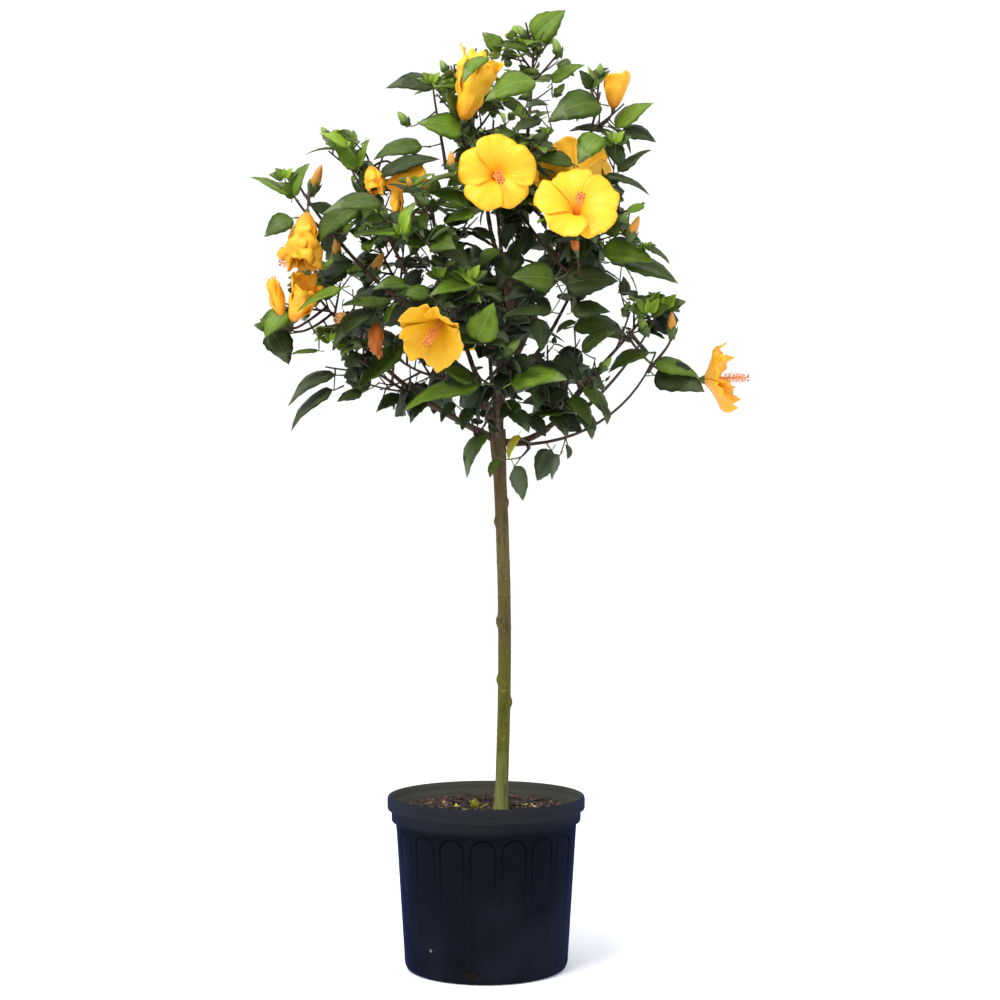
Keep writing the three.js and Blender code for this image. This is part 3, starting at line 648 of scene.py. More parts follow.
def leaning(along, turn, angle):
    """Direction that leans off a line by an angle, on the side given by a turn round it."""
    reference = UP if abs(along[2]) < 0.9 else np.array((1.0, 0, 0))
    across = unit(np.cross(along, reference))
    over = np.cross(across, along)
    t, a = math.radians(turn), math.radians(angle)
    return along * math.cos(a) + (across * math.cos(t) + over * math.sin(t)) * math.sin(a)


class Dice:
    """Repeatable dice: each roll gives a number between low and high."""

    def __init__(self, seed):
        self.state = seed

    def __call__(self, low, high):
        self.state = (self.state * 1664525 + 1013904223) & 0xFFFFFFFF
        return low + (high - low) * self.state / 2 ** 32


# %% Lines
class Line:
    """A smooth line: a Bezier curve of two, three or four points."""

    def __init__(self, *points):
        self.points = np.array(points, float)

    def at(self, t):
        points = self.points
        while len(points) > 1:
            points = points[:-1] + (points[1:] - points[:-1]) * t
        return points[0]

    def along(self, t):
        return unit(self.at(min(t + 1e-4, 1)) - self.at(max(t - 1e-4, 0)))

    def spread(self, steps):
        return np.array([self.at(i / steps) for i in range(steps + 1)])

    def length(self):
        return np.linalg.norm(np.diff(self.spread(40), axis=0), axis=1).sum()


class TrunkLine(Line):
    """The trunk's line: it leans and bows gently to the right."""

    FOOT_X, HEAD_X, BOW, FOOT_Z, HEAD_Z = TRUNK_FOOT_X, 14.5, 7, 195.35, 690

    def __init__(self):
        super().__init__(self.at(0), self.at(1))

    def at(self, t):
        x = self.FOOT_X + (self.HEAD_X - self.FOOT_X) * t + self.BOW * math.sin(math.pi * t)
        return np.array((x, 0.0, self.FOOT_Z + (self.HEAD_Z - self.FOOT_Z) * t))


# %% [markdown]
# ## The crown's spaces
#
# Each mass of leaves keeps to its own egg-shaped space. A row gives its centre and its reach,
# the limb that its bough leaves and where, the bough's first rise and its thickness, and the
# shoots on its stem. These are the same rows that the CAD model was grown from.

# %% The spaces
SPACE_FIELDS = ("name", "parent", "at", "centre", "reach", "rise", "thick", "shoots")
SPACE_ROWS = (
    ("leader", "trunk", 1, (62, 0, 1160), (74, 70, 80), 84, 6.5, 6),
    ("front", "trunk", 0.988, (-62, -140, 900), (116, 110, 100), 52, 5, 5),
    ("left_high", "trunk", 0.995, (-160, -20, 1002), (98, 98, 80), 58, 5, 4),
    ("left_low", "trunk", 0.972, (-212, -10, 832), (90, 92, 84), 24, 5, 4),
    ("right_far", "trunk", 0.968, (206, 0, 818), (84, 90, 80), -8, 5, 4),
    ("back", "trunk", 0.985, (0, 185, 850), (112, 106, 100), 48, 5.5, 5),
    ("upper_left", "leader", 0.45, (-30, -10, 1098), (106, 96, 106), 50, 3.6, 7),
    ("left_far", "left_high", 0.55, (-232, -30, 965), (78, 84, 86), 30, 3.2, 5),
    ("lower_left", "left_low", 0.45, (-148, -50, 745), (112, 98, 80), 10, 3.4, 4),
    ("front_low", "trunk", 0.978, (14, -115, 765), (110, 98, 86), 20, 4, 4),
    ("right_high", "leader", 0.12, (140, -20, 1070), (86, 92, 92), 62, 4.2, 6),
    ("right_mid", "right_high", 0.45, (158, -75, 938), (92, 98, 86), 40, 3.2, 4),
    ("right_low", "right_far", 0.35, (112, -35, 716), (94, 92, 70), -5, 3.2, 4),
    ("centre_high", "leader", 0.55, (52, -80, 1000), (96, 94, 92), 40, 3.4, 4),
    ("back_high", "leader", 0.35, (8, 105, 1035), (110, 100, 100), 50, 3.8, 5),
    ("back_left", "back", 0.2, (-140, 120, 905), (108, 106, 98), 45, 4, 5),
    ("back_right", "back", 0.32, (142, 120, 910), (104, 106, 98), 45, 4, 5),
    ("back_low_left", "back_left", 0.35, (-90, 92, 752), (98, 92, 76), 0, 3.2, 4),
    ("back_low_right", "back_right", 0.35, (92, 96, 754), (96, 92, 76), 0, 3.2, 4),
    ("fork_left", "left_low", 0.12, (-14, -35, 668), (50, 50, 50), -20, 3, 4),
    ("fork_right", "right_far", 0.2, (54, -35, 650), (56, 52, 52), -35, 3, 4),
)
HANG = {
    "leader": 0.2, "lower_left": 0.8, "front_low": 0.8, "right_low": 0.9,
    "back_low_left": 0.9, "back_low_right": 0.9, "fork_left": 1.5, "fork_right": 1.5,
}
USUAL_HANG = 0.5
STEM_LIFT = {"leader": 3}
USUAL_LIFT = 0.8
LEAF_SHARE = {"fork_left": 0.56, "fork_right": 0.56}

spaces = [dict(zip(SPACE_FIELDS, row)) for row in SPACE_ROWS]
for number, space in enumerate(spaces):
    space["number"] = number
    space["centre"] = np.array(space["centre"], float)
    space["reach"] = np.array(space["reach"], float)
centres = np.array([space["centre"] for space in spaces])
reaches = np.array([space["reach"] for space in spaces])


def norms(points):
    """How far out each point lies in each space: below 1 is inside it."""
    return np.linalg.norm((points[:, None, :] - centres) / reaches, axis=2)


print("crown:", len(spaces), "spaces")

# %% [markdown]
# ## Boughs and stems
#
# A bough leaves its parent, swings out and ends where it enters its space. A stem carries on
# from its tip through the space. The lines are worked out first, and get their bark later.

# %% Bough and stem lines
SEAT_GAP = 0.35
BOUGH_ENTRY = 0.78
BOUGH_DEEPEST_ENTRY = 0.82
BOUGH_FIRST_PULL, BOUGH_LAST_PULL = 0.4, 0.35
STEM_FILL = 0.56
BOUGH_TIP_RADIUS = 2.9
TRUNK_RADIUS, FOOT_FLARE, FLARE_LENGTH, FORK_SWELL = 8.3, 2.4, 14, 2.3


def bough_line(space, parent):
    start = parent.at(space["at"])
    centre = space["centre"]
    away = centre - start
    reach = np.linalg.norm(away / space["reach"])
    entry = centre - away * min(BOUGH_ENTRY / reach, BOUGH_DEEPEST_ENTRY)
    inward = unit(unit(centre - entry) + UP * 0.25)
    rise = math.radians(space["rise"])
    first = unit(np.array((away[0], away[1], 0))) * math.cos(rise) + UP * math.sin(rise)
    span = np.linalg.norm(entry - start)
    return Line(
        start, start + first * span * BOUGH_FIRST_PULL,
        entry - inward * span * BOUGH_LAST_PULL, entry,
    )


def stem_line(space):
    bough = limbs[space["name"]]
    inward = bough.along(1)
    start = bough.at(1) + inward * SEAT_GAP
    climb = unit(inward * 0.6 + UP * STEM_LIFT.get(space["name"], USUAL_LIFT))
    tip = climb * space["reach"] * STEM_FILL + space["centre"]
    bend = start + inward * np.linalg.norm(start - space["centre"])
    return Line(start, bend, tip)


limbs = {"trunk": TrunkLine()}
for space in spaces:
    limbs[space["name"]] = bough_line(space, limbs[space["parent"]])
for space in spaces:
    space["stem"] = stem_line(space)


def limb_radius(name):
    """Radius along a limb, from its start at 0 to its tip at 1."""
    if name == "trunk":
        tall = TrunkLine.HEAD_Z - TrunkLine.FOOT_Z
        return lambda t: (
            TRUNK_RADIUS + FOOT_FLARE * np.exp(-t * tall / FLARE_LENGTH)
            + FORK_SWELL * step_between(t, 0.86, 1)
        )
    thick = next(space["thick"] for space in spaces if space["name"] == name)
    return lambda t: thick + (BOUGH_TIP_RADIUS - thick) * t ** 0.7


print("limbs:", len(limbs))

# %% [markdown]
# ## Where the flowers are
#
# Each open flower has its mouth's centre, the way it faces and its width. Rolled and wilting
# ones have their foot instead, and a length. Their stalks come off the nearest stem, and
# leaves keep out of the room in front of them, so that they show. The petals of an open
# flower form a funnel, which is flat and wide in some and a deep trumpet in others.

# %% Flower places
FLAT, BOWL, BELL, TRUMPET = (0.36, 2.3), (0.42, 1.5), (0.4, 0.6), (0.62, 1.15)
ROOM_IN_FRONT = 35
OPEN_FLOWERS = (
    # space, mouth, turn, rise, width, depth and curve of its funnel, petals
    ("centre_high", (14, -158, 992), 6, 0, 93, FLAT, "yellow"),
    ("centre_high", (111, -172, 956), 4, 27, 101, FLAT, "yellow"),
    # its darker gold petals are painted shade, as this flower hangs low in front
    ("front", (-66, -218, 786), -22, -36, 84, TRUMPET, "amber"),
    ("right_far", (312, -14, 757), 78, 6, 90, BELL, "golden"),
    ("right_mid", (111, -58, 1017), 188, 34, 94, BOWL, "yellow"),
    ("back", (-30, 296, 862), 186, 6, 94, BOWL, "yellow"),
    ("back_high", (42, 208, 1045), 168, 24, 98, FLAT, "yellow"),
    ("back_right", (129, 196, 1012), 152, 30, 90, FLAT, "yellow"),
    ("back_left", (-250, 112, 920), 258, 8, 84, BOWL, "golden"),
)
CLOSED_FLOWERS = (
    # space, foot, turn, rise, length, width, how open, how crumpled, petals
    ("right_high", (162, -30, 1098), 90, 84, 47, 34, 0.8, 0.25, "golden"),
    ("upper_left", (-29, -70, 1074), 84, 74, 86, 50, 0.8, 0.6, "yellow"),
    ("left_far", (-224, -70, 958), -40, -80, 70, 46, 0.55, 1.0, "golden"),
    ("left_low", (-244, -60, 824), 44, 52, 60, 42, 1.0, 0.7, "golden"),
    ("left_low", (-256, -56, 826), -50, 70, 54, 22, 0.1, 0.8, "golden"),
    ("left_high", (-124, -92, 988), 86, 14, 54, 40, 1.0, 0.35, "golden"),
    ("left_high", (-144, -86, 1014), 50, -70, 38, 26, 0.5, 1.3, "golden"),
    ("left_high", (-112, -90, 998), 20, -84, 46, 18, 0.3, 1.0, "golden"),
    ("left_low", (-136, -88, 822), -10, -84, 44, 20, 0.3, 1.2, "withered"),
    ("centre_high", (110, -150, 896), -60, 76, 17, 10, 0.2, 0.9, "withered"),
    ("lower_left", (-166, -64, 822), -80, 15, 24, 16, 0.3, 1.0, "faded"),
)
OPEN_FIELDS = ("space", "mouth", "turn", "rise", "width", "funnel", "petals")
CLOSED_FIELDS = (
    "space", "foot", "turn", "rise", "length", "width", "openness", "crumple", "petals",
)
flowers = [dict(zip(OPEN_FIELDS, row)) for row in OPEN_FLOWERS]
flowers += [dict(zip(CLOSED_FIELDS, row)) for row in CLOSED_FLOWERS]
for flower in flowers:
    way = flower["way"] = heading(flower["turn"], flower["rise"])
    flower["open"] = "mouth" in flower
    if flower["open"]:
        mouth, width = np.array(flower["mouth"]), flower["width"]
        flower["foot"] = mouth - way * flower["funnel"][0] * width
        room = (mouth + way * 0.15 * width, mouth + way * (0.15 * width + ROOM_IN_FRONT))
    else:
        foot = flower["foot"] = np.array(flower["foot"])
        length = flower["length"]
        room = (foot + way * 0.3 * length, foot + way * 0.8 * length)
    flower["room"] = room
print("flowers:", len(flowers))

# %% Flower stalks
TWIG_STEPS = 2
SHOOTS_START = 0.1


def chord_point(line, t):
    """The point on a line made of short straight lengths, as the CAD model's twigs are."""
    step = min(int(t * TWIG_STEPS), TWIG_STEPS - 1)
    start, end = line.at(step / TWIG_STEPS), line.at((step + 1) / TWIG_STEPS)
    return start + (end - start) * (t * TWIG_STEPS - step)


def flower_shoot(stem, foot, way):
    below = foot - way * 30
    places = [SHOOTS_START + i / 20 for i in range(18)]
    nearest = min(places, key=lambda t: np.linalg.norm(chord_point(stem, t) - below))
    reach = np.linalg.norm(chord_point(stem, nearest) - foot)
    return Line(stem.at(nearest), foot - way * 0.5 * reach, foot + way * 2)


for space in spaces:
    space["flower_shoots"] = []
for flower in flowers:
    space = next(s for s in spaces if s["name"] == flower["space"])
    flower["shoot"] = flower_shoot(space["stem"], flower["foot"], flower["way"])
    space["flower_shoots"].append(flower["shoot"])

# %% [markdown]
# ## Room to grow
#
# A twig or leaf that would leave its space, or touch a limb or a flower, is skipped. Each
# thing to keep clear of is a row of short stretches with a radius, kept in arrays so that
# thousands of leaves can be tried in seconds.

# %% Obstacles
SPACE_GAP = 0.055
CLEARANCE = 2.0
STALK_RADIUS = 2.1
FLOWER_SHARE = 0.54
stretches = []


def keep_clear(line, steps, radius_at, owner):
    points = line.spread(steps)
    for i in range(steps):
        stretches.append((points[i], points[i + 1], radius_at(i / steps), owner))


for name, line in limbs.items():
    radius_of = limb_radius(name)
    keep_clear(line, 14, lambda t: radius_of(t) + CLEARANCE, "limb " + name)
for flower in flowers:
    keep_clear(flower["shoot"], 5, lambda t: STALK_RADIUS + CLEARANCE, flower["space"])
    keep_clear(Line(*flower["room"]), 1, lambda t: FLOWER_SHARE * flower["width"] + 1, "flower")

for space in spaces:
    near = [
        (start, end - start, radius) for start, end, radius, owner in stretches
        if owner != space["name"]
        and np.linalg.norm((start + end) / 2 - space["centre"])
        < space["reach"].max() + radius + np.linalg.norm(end - start) / 2
    ]
    space["obstacles"] = [np.array(column) for column in zip(*near)]


def are_clear(space, points):
    starts, spans, radii = space["obstacles"]
    offset = points[:, None, :] - starts
    share = np.clip((offset * spans).sum(axis=2) / (spans ** 2).sum(axis=1), 0, 1)
    gap = np.linalg.norm(offset - share[:, :, None] * spans, axis=2)
    return (gap > radii).all(axis=1)


def are_within(space, points):
    all_norms = norms(points)
    own = all_norms[:, space["number"]].copy()
    all_norms[:, space["number"]] = np.inf
    return (own < 1) & (all_norms > own[:, None] + SPACE_GAP).all(axis=1)


def are_free(space, points):
    return are_within(space, points).all() and are_clear(space, points).all()


print("obstacles:", len(stretches))

# %% [markdown]
# ## The crown's outline and its windows
#
# Seen from the front this crown has an outline of its own, and the sky shows through it in
# many small windows. Both are noted as they look from the camera, in thousandths of the
# picture's side: the outline's corners, and a middle and two half sizes for each window.
# Leaves that would cover the sky there are skipped, while twigs may cross it.

# %% Lines of sight
VIEW_AXIS_X = 486.2
VIEW_HORIZON = 514
MM_PER_STEP = 1.289
WINDOW_KEPT = 0.92
OUTLINE = np.array((
    (480, 30), (502, 38), (516, 22), (530, 30), (533, 20), (545, 8), (566, 9), (562, 24), (545, 36),
    (565, 40), (562, 54), (586, 64), (610, 68), (600, 88), (606, 100), (612, 126), (622, 112),
    (653, 102), (632, 125), (657, 141), (640, 148), (634, 166), (618, 174), (640, 178), (651, 197),
    (622, 187), (622, 205), (629, 222), (646, 216), (642, 238), (674, 262), (679, 284), (664, 272),
    (636, 272), (634, 290), (660, 297), (672, 300), (684, 318), (675, 334), (662, 346), (655, 356),
    (612, 372), (606, 388), (612, 415), (606, 425), (592, 444), (576, 438), (566, 432), (545, 432),
    (520, 436), (497, 433), (462, 431), (440, 420), (400, 424), (375, 412), (362, 393), (345, 386),
    (342, 372), (328, 350), (300, 335), (265, 340), (258, 316), (268, 306), (286, 306), (286, 272),
    (320, 264), (322, 212), (342, 201), (362, 199), (346, 172), (352, 166), (332, 150), (318, 138),
    (338, 128), (352, 132), (372, 140), (366, 160), (384, 172), (425, 166), (441, 157), (443, 135),
    (438, 98), (432, 82), (450, 70), (464, 64), (478, 50),
), float)
WINDOWS = np.array((
    (450, 148, 7, 9), (390, 203, 5, 11), (408, 204, 8, 9), (437, 217, 7, 5), (476, 221, 6, 6),
    (492, 222, 6, 6), (428, 251, 6, 6), (353, 250, 10, 11), (385, 254, 11, 5), (405, 253, 6, 4),
    (395, 275, 11, 7), (430, 278, 7, 10), (350, 287, 12, 10), (380, 283, 6, 3), (330, 314, 15, 15),
    (353, 307, 8, 4), (307, 328, 8, 9), (327, 340, 6, 5), (334, 364, 10, 13), (406, 368, 14, 13),
    (428, 373, 8, 8), (467, 360, 10, 9), (378, 378, 7, 5), (395, 385, 9, 6), (384, 393, 13, 6),
    (522, 63, 15, 5), (548, 60, 8, 15), (549, 90, 8, 9), (577, 91, 14, 12), (600, 93, 7, 12),
    (602, 118, 11, 9), (512, 91, 9, 6), (533, 92, 5, 9), (493, 121, 6, 7), (511, 123, 6, 8),
    (486, 125, 4, 6), (528, 132, 10, 6), (560, 135, 11, 9), (540, 183, 5, 7), (552, 224, 7, 5),
    (533, 219, 5, 5), (612, 239, 12, 6), (612, 267, 10, 7), (603, 296, 18, 9), (610, 316, 9, 9),
    (556, 291, 9, 9), (561, 311, 10, 9), (560, 331, 10, 6), (580, 341, 11, 9), (611, 352, 15, 8),
    (648, 345, 9, 11), (590, 363, 10, 5), (624, 384, 14, 12), (606, 402, 9, 12), (588, 405, 9, 9),
    (573, 390, 8, 4), (530, 349, 9, 8), (550, 355, 5, 6), (487, 365, 4, 7), (486, 380, 5, 5),
    (632, 318, 7, 12), (640, 337, 7, 6), (688, 340, 9, 30),
), float)


def step_at(depth):
    """What a step of the view measures at a depth, in millimetres behind the pot's axis."""
    return MM_PER_STEP * (EYE_DISTANCE + depth) / EYE_DISTANCE


def in_view(px, py, depth):
    """The point at a depth on a line of sight."""
    scale = step_at(depth)
    return np.array(((px - VIEW_AXIS_X) * scale, depth, EYE_HEIGHT + (VIEW_HORIZON - py) * scale))


def seen_at(points):
    """Where points appear in the view."""
    x, depth, z = points.T
    scale = step_at(depth)
    return np.column_stack([VIEW_AXIS_X + x / scale, VIEW_HORIZON - (z - EYE_HEIGHT) / scale])


def inside_outline(seen):
    """Counts how often a level line to the right of each point crosses the outline."""
    ends = np.roll(OUTLINE, -1, axis=0)
    x, y = seen[:, 0:1], seen[:, 1:2]
    spans_it = (OUTLINE[:, 1] > y) != (ends[:, 1] > y)
    rise = ends[:, 1] - OUTLINE[:, 1] + 1e-9
    crossing = OUTLINE[:, 0] + (y - OUTLINE[:, 1]) * (ends[:, 0] - OUTLINE[:, 0]) / rise
    return (spans_it & (x < crossing)).sum(axis=1) % 2 == 1


def leaves_sky_free(points):
    seen = seen_at(points)
    away = (seen[:, None, :] - WINDOWS[:, 0:2]) / WINDOWS[:, 2:4]
    in_window = (np.linalg.norm(away, axis=2) < WINDOW_KEPT).any()
    return not in_window and inside_outline(seen).all()


print("outline corners:", len(OUTLINE), "windows:", len(WINDOWS))

# %% [markdown]
# ## Shoots, and finer sprigs on them
#
# The side shoots are the CAD model's own, from the same dice. Each then bears finer sprigs,
# which the CAD model leaves out, so that the crown is filled as a real one is. A twig knows
# what bears it, and notes whether it bears anything itself: bare ones are left out later.

# %% Shoots and sprigs
SHOOT_STRIDE = 6
SHOOT_LONGEST = 100
SHOOT_SHORTEST = 18
SHOOT_FILL = 0.62
SHOOT_SHARES = (1, 0.8, 0.6, 0.45)
SHOOTS_SPAN = 0.82
SHOOT_ANGLE = 56
SHOOT_SAG, SPRIG_SAG = 0.06, 0.05
SPRIG_LENGTHS = (26, 46)
SPRIG_SHORTEST = 20
SPRIG_SPACING = 21
SPRIG_ANGLES = (45, 65)


class Twig(Line):
    """A line that bears leaves, with its kind and the twig that bears it."""

    def __init__(self, kind, line_points, bearer=None):
        super().__init__(*line_points)
        self.kind = kind
        self.bearer = bearer
        self.is_used = kind in ("stem", "flower shoot")

    def use(self):
        self.is_used = True
        if self.bearer:
            self.bearer.use()


def side_shoot(space, base, aim):
    """How long a shoot can be: most of the way through its space, and shorter where it's full."""
    room = SHOOT_STRIDE
    while room < SHOOT_LONGEST and are_within(space, (base + aim * room)[None])[0]:
        room += SHOOT_STRIDE
    for share in SHOOT_SHARES:
        reach = room * SHOOT_FILL * share
        marks = np.array([base + aim * reach * t for t in (0.4, 0.6, 0.8, 1)])
        if reach > SHOOT_SHORTEST and are_free(space, marks):
            return reach
    return 0


def sagging(start, base, aim, reach, sag):
    """The points of a twig that sags a little at its middle."""
    return start, base + aim * reach * 0.5 - UP * reach * sag, base + aim * reach


def grow_shoots(space, roll):
    stem = space["twigs"][0]
    for i in range(space["shoots"]):
        t = SHOOTS_START + SHOOTS_SPAN * (i + roll(0.1, 0.9)) / space["shoots"]
        turn = i * GOLDEN_TURN + roll(-25, 25)
        spread = SHOOT_ANGLE + roll(-10, 10)
        aim = unit(leaning(stem.along(t), turn, spread) + UP * 0.3)
        base = chord_point(stem, t)
        reach = side_shoot(space, base, aim)
        if reach:
            line_points = sagging(stem.at(t), base, aim, reach, SHOOT_SAG)
            space["twigs"].append(Twig("shoot", line_points, stem))


def grow_sprigs(space, twig, roll):
    count = int(twig.length() / SPRIG_SPACING)
    first = roll(0, 360)
    for i in range(count):
        t = (i + roll(0.4, 0.8)) / count
        angle = roll(*SPRIG_ANGLES)
        aim = unit(leaning(twig.along(t), first + i * GOLDEN_TURN, angle) + UP * 0.25)
        base = twig.at(t)
        for reach in (roll(*SPRIG_LENGTHS), SPRIG_SHORTEST):
            marks = np.array([base + aim * reach * s for s in (0.5, 0.75, 1)])
            if are_free(space, marks) and inside_outline(seen_at(marks)).all():
                line_points = sagging(base, base, aim, reach, SPRIG_SAG)
                space["twigs"].append(Twig("sprig", line_points, twig))
                break


for space in spaces:
    stem = Twig("stem", space["stem"].points)
    space["twigs"] = [stem]
    grow_shoots(space, Dice(space["number"] + 1))
    space["twigs"] += [Twig("flower shoot", line.points, stem) for line in space["flower_shoots"]]
    finer = Dice(space["number"] + 101)
    for twig in list(space["twigs"]):
        grow_sprigs(space, twig, finer)
all_twigs = [twig for space in spaces for twig in space["twigs"]]
print("twigs:", len(all_twigs))

# %% [markdown]
# ## Leaves and buds seen in particular places
#
# Some leaves and buds give this very plant its look: the bright leaf at the top, the narrow
# ones that droop at the lower left, those that hang at the fork. Each leaf is written as two
# points of the view, where its blade starts and ends, and the share of its width that shows.
# It is set well in front along that line of sight, at a depth where a twig is near, and a
# short stalk joins it to that twig. Buds and tufts of young leaves have one point and a
# length, and six bare branches have four points with their depths. The leaves that grow by
# the rule later don't hide any blade or bud of these.

# %% Marked twigs
MARKED_TWIGS = (
    # four places of the view with their depths: a long bare branch under the crown's right side
    ((503, 444, 0), (580, 450, -20), (636, 408, -30), (656, 352, -30)),
    # thin ones that rise out of the crown on the left
    ((380, 226, -40), (372, 200, -50), (352, 176, -50), (344, 152, -50)),
    ((330, 238, -40), (312, 222, -45), (298, 205, -45), (287, 184, -45)),
    ((446, 168, -60), (442, 140, -60), (436, 112, -60), (433, 88, -60)),
    # a second one within the right side
    ((590, 404, -30), (612, 384, -30), (636, 356, -30), (655, 318, -30)),
    ((648, 372, -30), (662, 352, -30), (672, 346, -30), (672, 332, -30)),
)
for places in MARKED_TWIGS:
    all_twigs.append(Twig("branch", [in_view(*place) for place in places]))
    all_twigs[-1].use()

# %% Marked leaves
MARKED_LEAVES = (
    # blade's start, its end, tone, share of its width that shows, and for some the depths to try
    # the darkest tone in these rows is painted shade
    (534, 38, 566, 9, "fresh", 0.95), (530, 49, 492, 46, "mid", 0.6),
    (500, 51, 482, 31, "fresh", 0.9), (535, 80, 484, 101, "fresh", 0.7, -120, -104),
    (487, 57, 462, 84, "fresh", 0.6, -120, -104), (552, 82, 586, 64, "fresh", 0.6),
    (592, 88, 579, 69, "dark", 0.8), (592, 88, 611, 69, "mid", 0.4),
    (600, 103, 547, 122, "mid", 0.8), (541, 118, 512, 132, "dark", 0.6),
    (546, 103, 524, 108, "dark", 0.6), (616, 127, 654, 102, "fresh", 0.6),
    (622, 130, 657, 142, "dark", 0.7), (603, 128, 569, 131, "dark", 0.6),
    (611, 142, 622, 172, "dark", 0.8), (618, 172, 652, 149, "dark", 0.5),
    (604, 176, 651, 196, "dark", 0.35), (600, 135, 578, 164, "fresh", 0.9, -124, -100),
    (573, 163, 532, 160, "mid", 0.6, -124, -100), (610, 236, 619, 209, "mid", 0.9),
    (433, 87, 385, 88, "dark", 0.65), (460, 86, 413, 95, "fresh", 0.5),
    (448, 92, 456, 122, "mid", 0.5), (463, 133, 416, 122, "fresh", 0.75),
    (422, 146, 373, 160, "mid", 0.65), (336, 150, 303, 156, "mid", 0.2),
    (348, 147, 318, 133, "young", 0.5), (358, 168, 334, 147, "fresh", 0.8),
    (358, 168, 370, 138, "fresh", 0.5), (292, 196, 250, 177, "fresh", 0.35),
    (292, 196, 310, 163, "fresh", 0.7), (294, 197, 276, 182, "mid", 0.8),
    (292, 218, 264, 237, "mid", 0.85), (382, 206, 321, 215, "mid", 0.5),
    (358, 204, 316, 246, "mid", 0.7), (334, 216, 306, 204, "dark", 0.6),
    (398, 232, 353, 237, "fresh", 0.5), (403, 233, 417, 201, "young", 0.6),
    (380, 176, 441, 159, "dark", 0.45), (470, 206, 424, 192, "mid", 0.5),
    (474, 212, 444, 224, "fresh", 0.7), (285, 310, 265, 338, "fresh", 0.95),
    (272, 333, 289, 365, "dark", 0.95), (319, 351, 290, 355, "mid", 0.3),
    (336, 375, 288, 407, "dark", 0.4), (334, 390, 291, 432, "dark", 0.4),
    (362, 392, 337, 402, "dark", 0.6), (341, 288, 297, 312, "fresh", 0.5, -130, -100),
    (374, 312, 332, 350, "dark", 0.5), (403, 345, 358, 390, "mid", 0.5),
    (391, 303, 341, 306, "mid", 0.35), (385, 322, 397, 303, "fresh", 0.6),
    (406, 285, 372, 290, "mid", 0.6), (474, 283, 428, 297, "fresh", 0.5),
    (476, 284, 452, 270, "young", 0.6), (498, 249, 477, 268, "fresh", 0.6),
    (477, 341, 494, 302, "fresh", 1.0), (481, 384, 403, 412, "fresh", 0.45),
    (474, 381, 440, 368, "mid", 0.6), (487, 433, 467, 479, "mid", 0.4),
    (554, 279, 510, 277, "mid", 0.95), (565, 284, 619, 281, "dark", 0.8),
    (604, 246, 654, 262, "fresh", 0.8), (622, 262, 679, 284, "mid", 0.5),
    (645, 244, 670, 264, "mid", 0.5), (610, 262, 640, 272, "dark", 0.4),
    (655, 362, 700, 378, "fresh", 0.6), (573, 312, 611, 312, "dark", 0.7),
    (574, 326, 631, 343, "mid", 0.6), (582, 351, 616, 332, "mid", 0.6),
    (511, 383, 568, 380, "fresh", 0.65), (555, 362, 583, 380, "dark", 0.9),
    (655, 375, 705, 392, "dark", 0.85), (648, 352, 608, 373, "mid", 0.4),
    (584, 386, 609, 420, "mid", 0.5), (572, 396, 591, 426, "mid", 0.6),
    (518, 402, 500, 420, "dark", 0.9), (514, 466, 523, 501, "dark", -0.6),
    (552, 450, 537, 481, "dark", -0.85), (560, 455, 552, 481, "dark", -0.45),
    (518, 435, 509, 460, "yellow", 0.5), (568, 445, 567, 459, "dark", 0.7),
    (497, 459, 490, 478, "mid", 0.6), (512, 222, 506, 250, "deep", 0.8),
    (527, 226, 523, 256, "deep", 0.8), (520, 240, 511, 268, "dark", 0.7),
    (548, 286, 529, 304, "dark", 0.7), (534, 296, 552, 311, "deep", 0.6),
    (575, 321, 556, 334, "mid", 0.5), (538, 318, 541, 352, "dark", 0.8),
    (552, 312, 500, 319, "dark", 0.45), (517, 253, 499, 288, "dark", 0.85),
    (643, 204, 626, 215, "fresh", 0.6), (532, 288, 504, 301, "deep", 0.75),
    (536, 384, 535, 411, "dark", 0.8), (565, 412, 513, 423, "mid", 0.35),
    (402, 396, 376, 412, "dark", 0.6), (426, 402, 410, 424, "dark", 0.6),
    (453, 402, 441, 423, "dark", 0.7), (471, 406, 462, 431, "dark", 0.7),
    (512, 411, 529, 433, "dark", 0.8), (530, 416, 546, 437, "deep", 0.7),
    (553, 414, 567, 438, "dark", 0.8), (580, 412, 592, 440, "dark", 0.7),
    (378, 410, 392, 396, "dark", 0.4), (600, 404, 607, 425, "dark", 0.6),
)
LONGEST_STALK = 30
FRONT, BACK, DEPTH_STRIDE = -200, 40, 8
DISTANCE_COST, DEPTH_COST = 3, 0.25
BLADE_KEPT, BUD_KEPT = 0.7, 0.4
MARKS_START, MARKS_END = 2, 10
twig_marks = np.concatenate([twig.spread(MARKS_END)[MARKS_START:] for twig in all_twigs])
mark_owners = [twig for twig in all_twigs for _ in range(MARKS_START, MARKS_END + 1)]


def near_a_twig(px, py, front=FRONT, back=BACK):
    """The point on a line of sight that lies near a twig, well in front, and the twig's point."""
    best = None
    for depth in range(front, back, DEPTH_STRIDE):
        point = in_view(px, py, depth)
        gaps = np.linalg.norm(twig_marks - point, axis=1)
        too_far = max(0, gaps.min() - LONGEST_STALK)
        cost = gaps.min() + DISTANCE_COST * too_far + DEPTH_COST * (depth - front)
        if best is None or cost < best[0]:
            best = (cost, point, gaps.argmin())
    mark_owners[best[2]].use()
    return best[1], twig_marks[best[2]]


def towards_the_eye(aim, share):
    """The upper side's direction, for a blade that shows a share of its width.

    The share is below nought where the underside shows.
    """
    eye = unit(np.array((0, -1, 0)) + aim * aim[1])
    across = np.cross(aim, eye)
    if across @ (0.15, 0, 1) < 0:
        across = -across
    return eye * share + across * math.sqrt(1 - share * share)


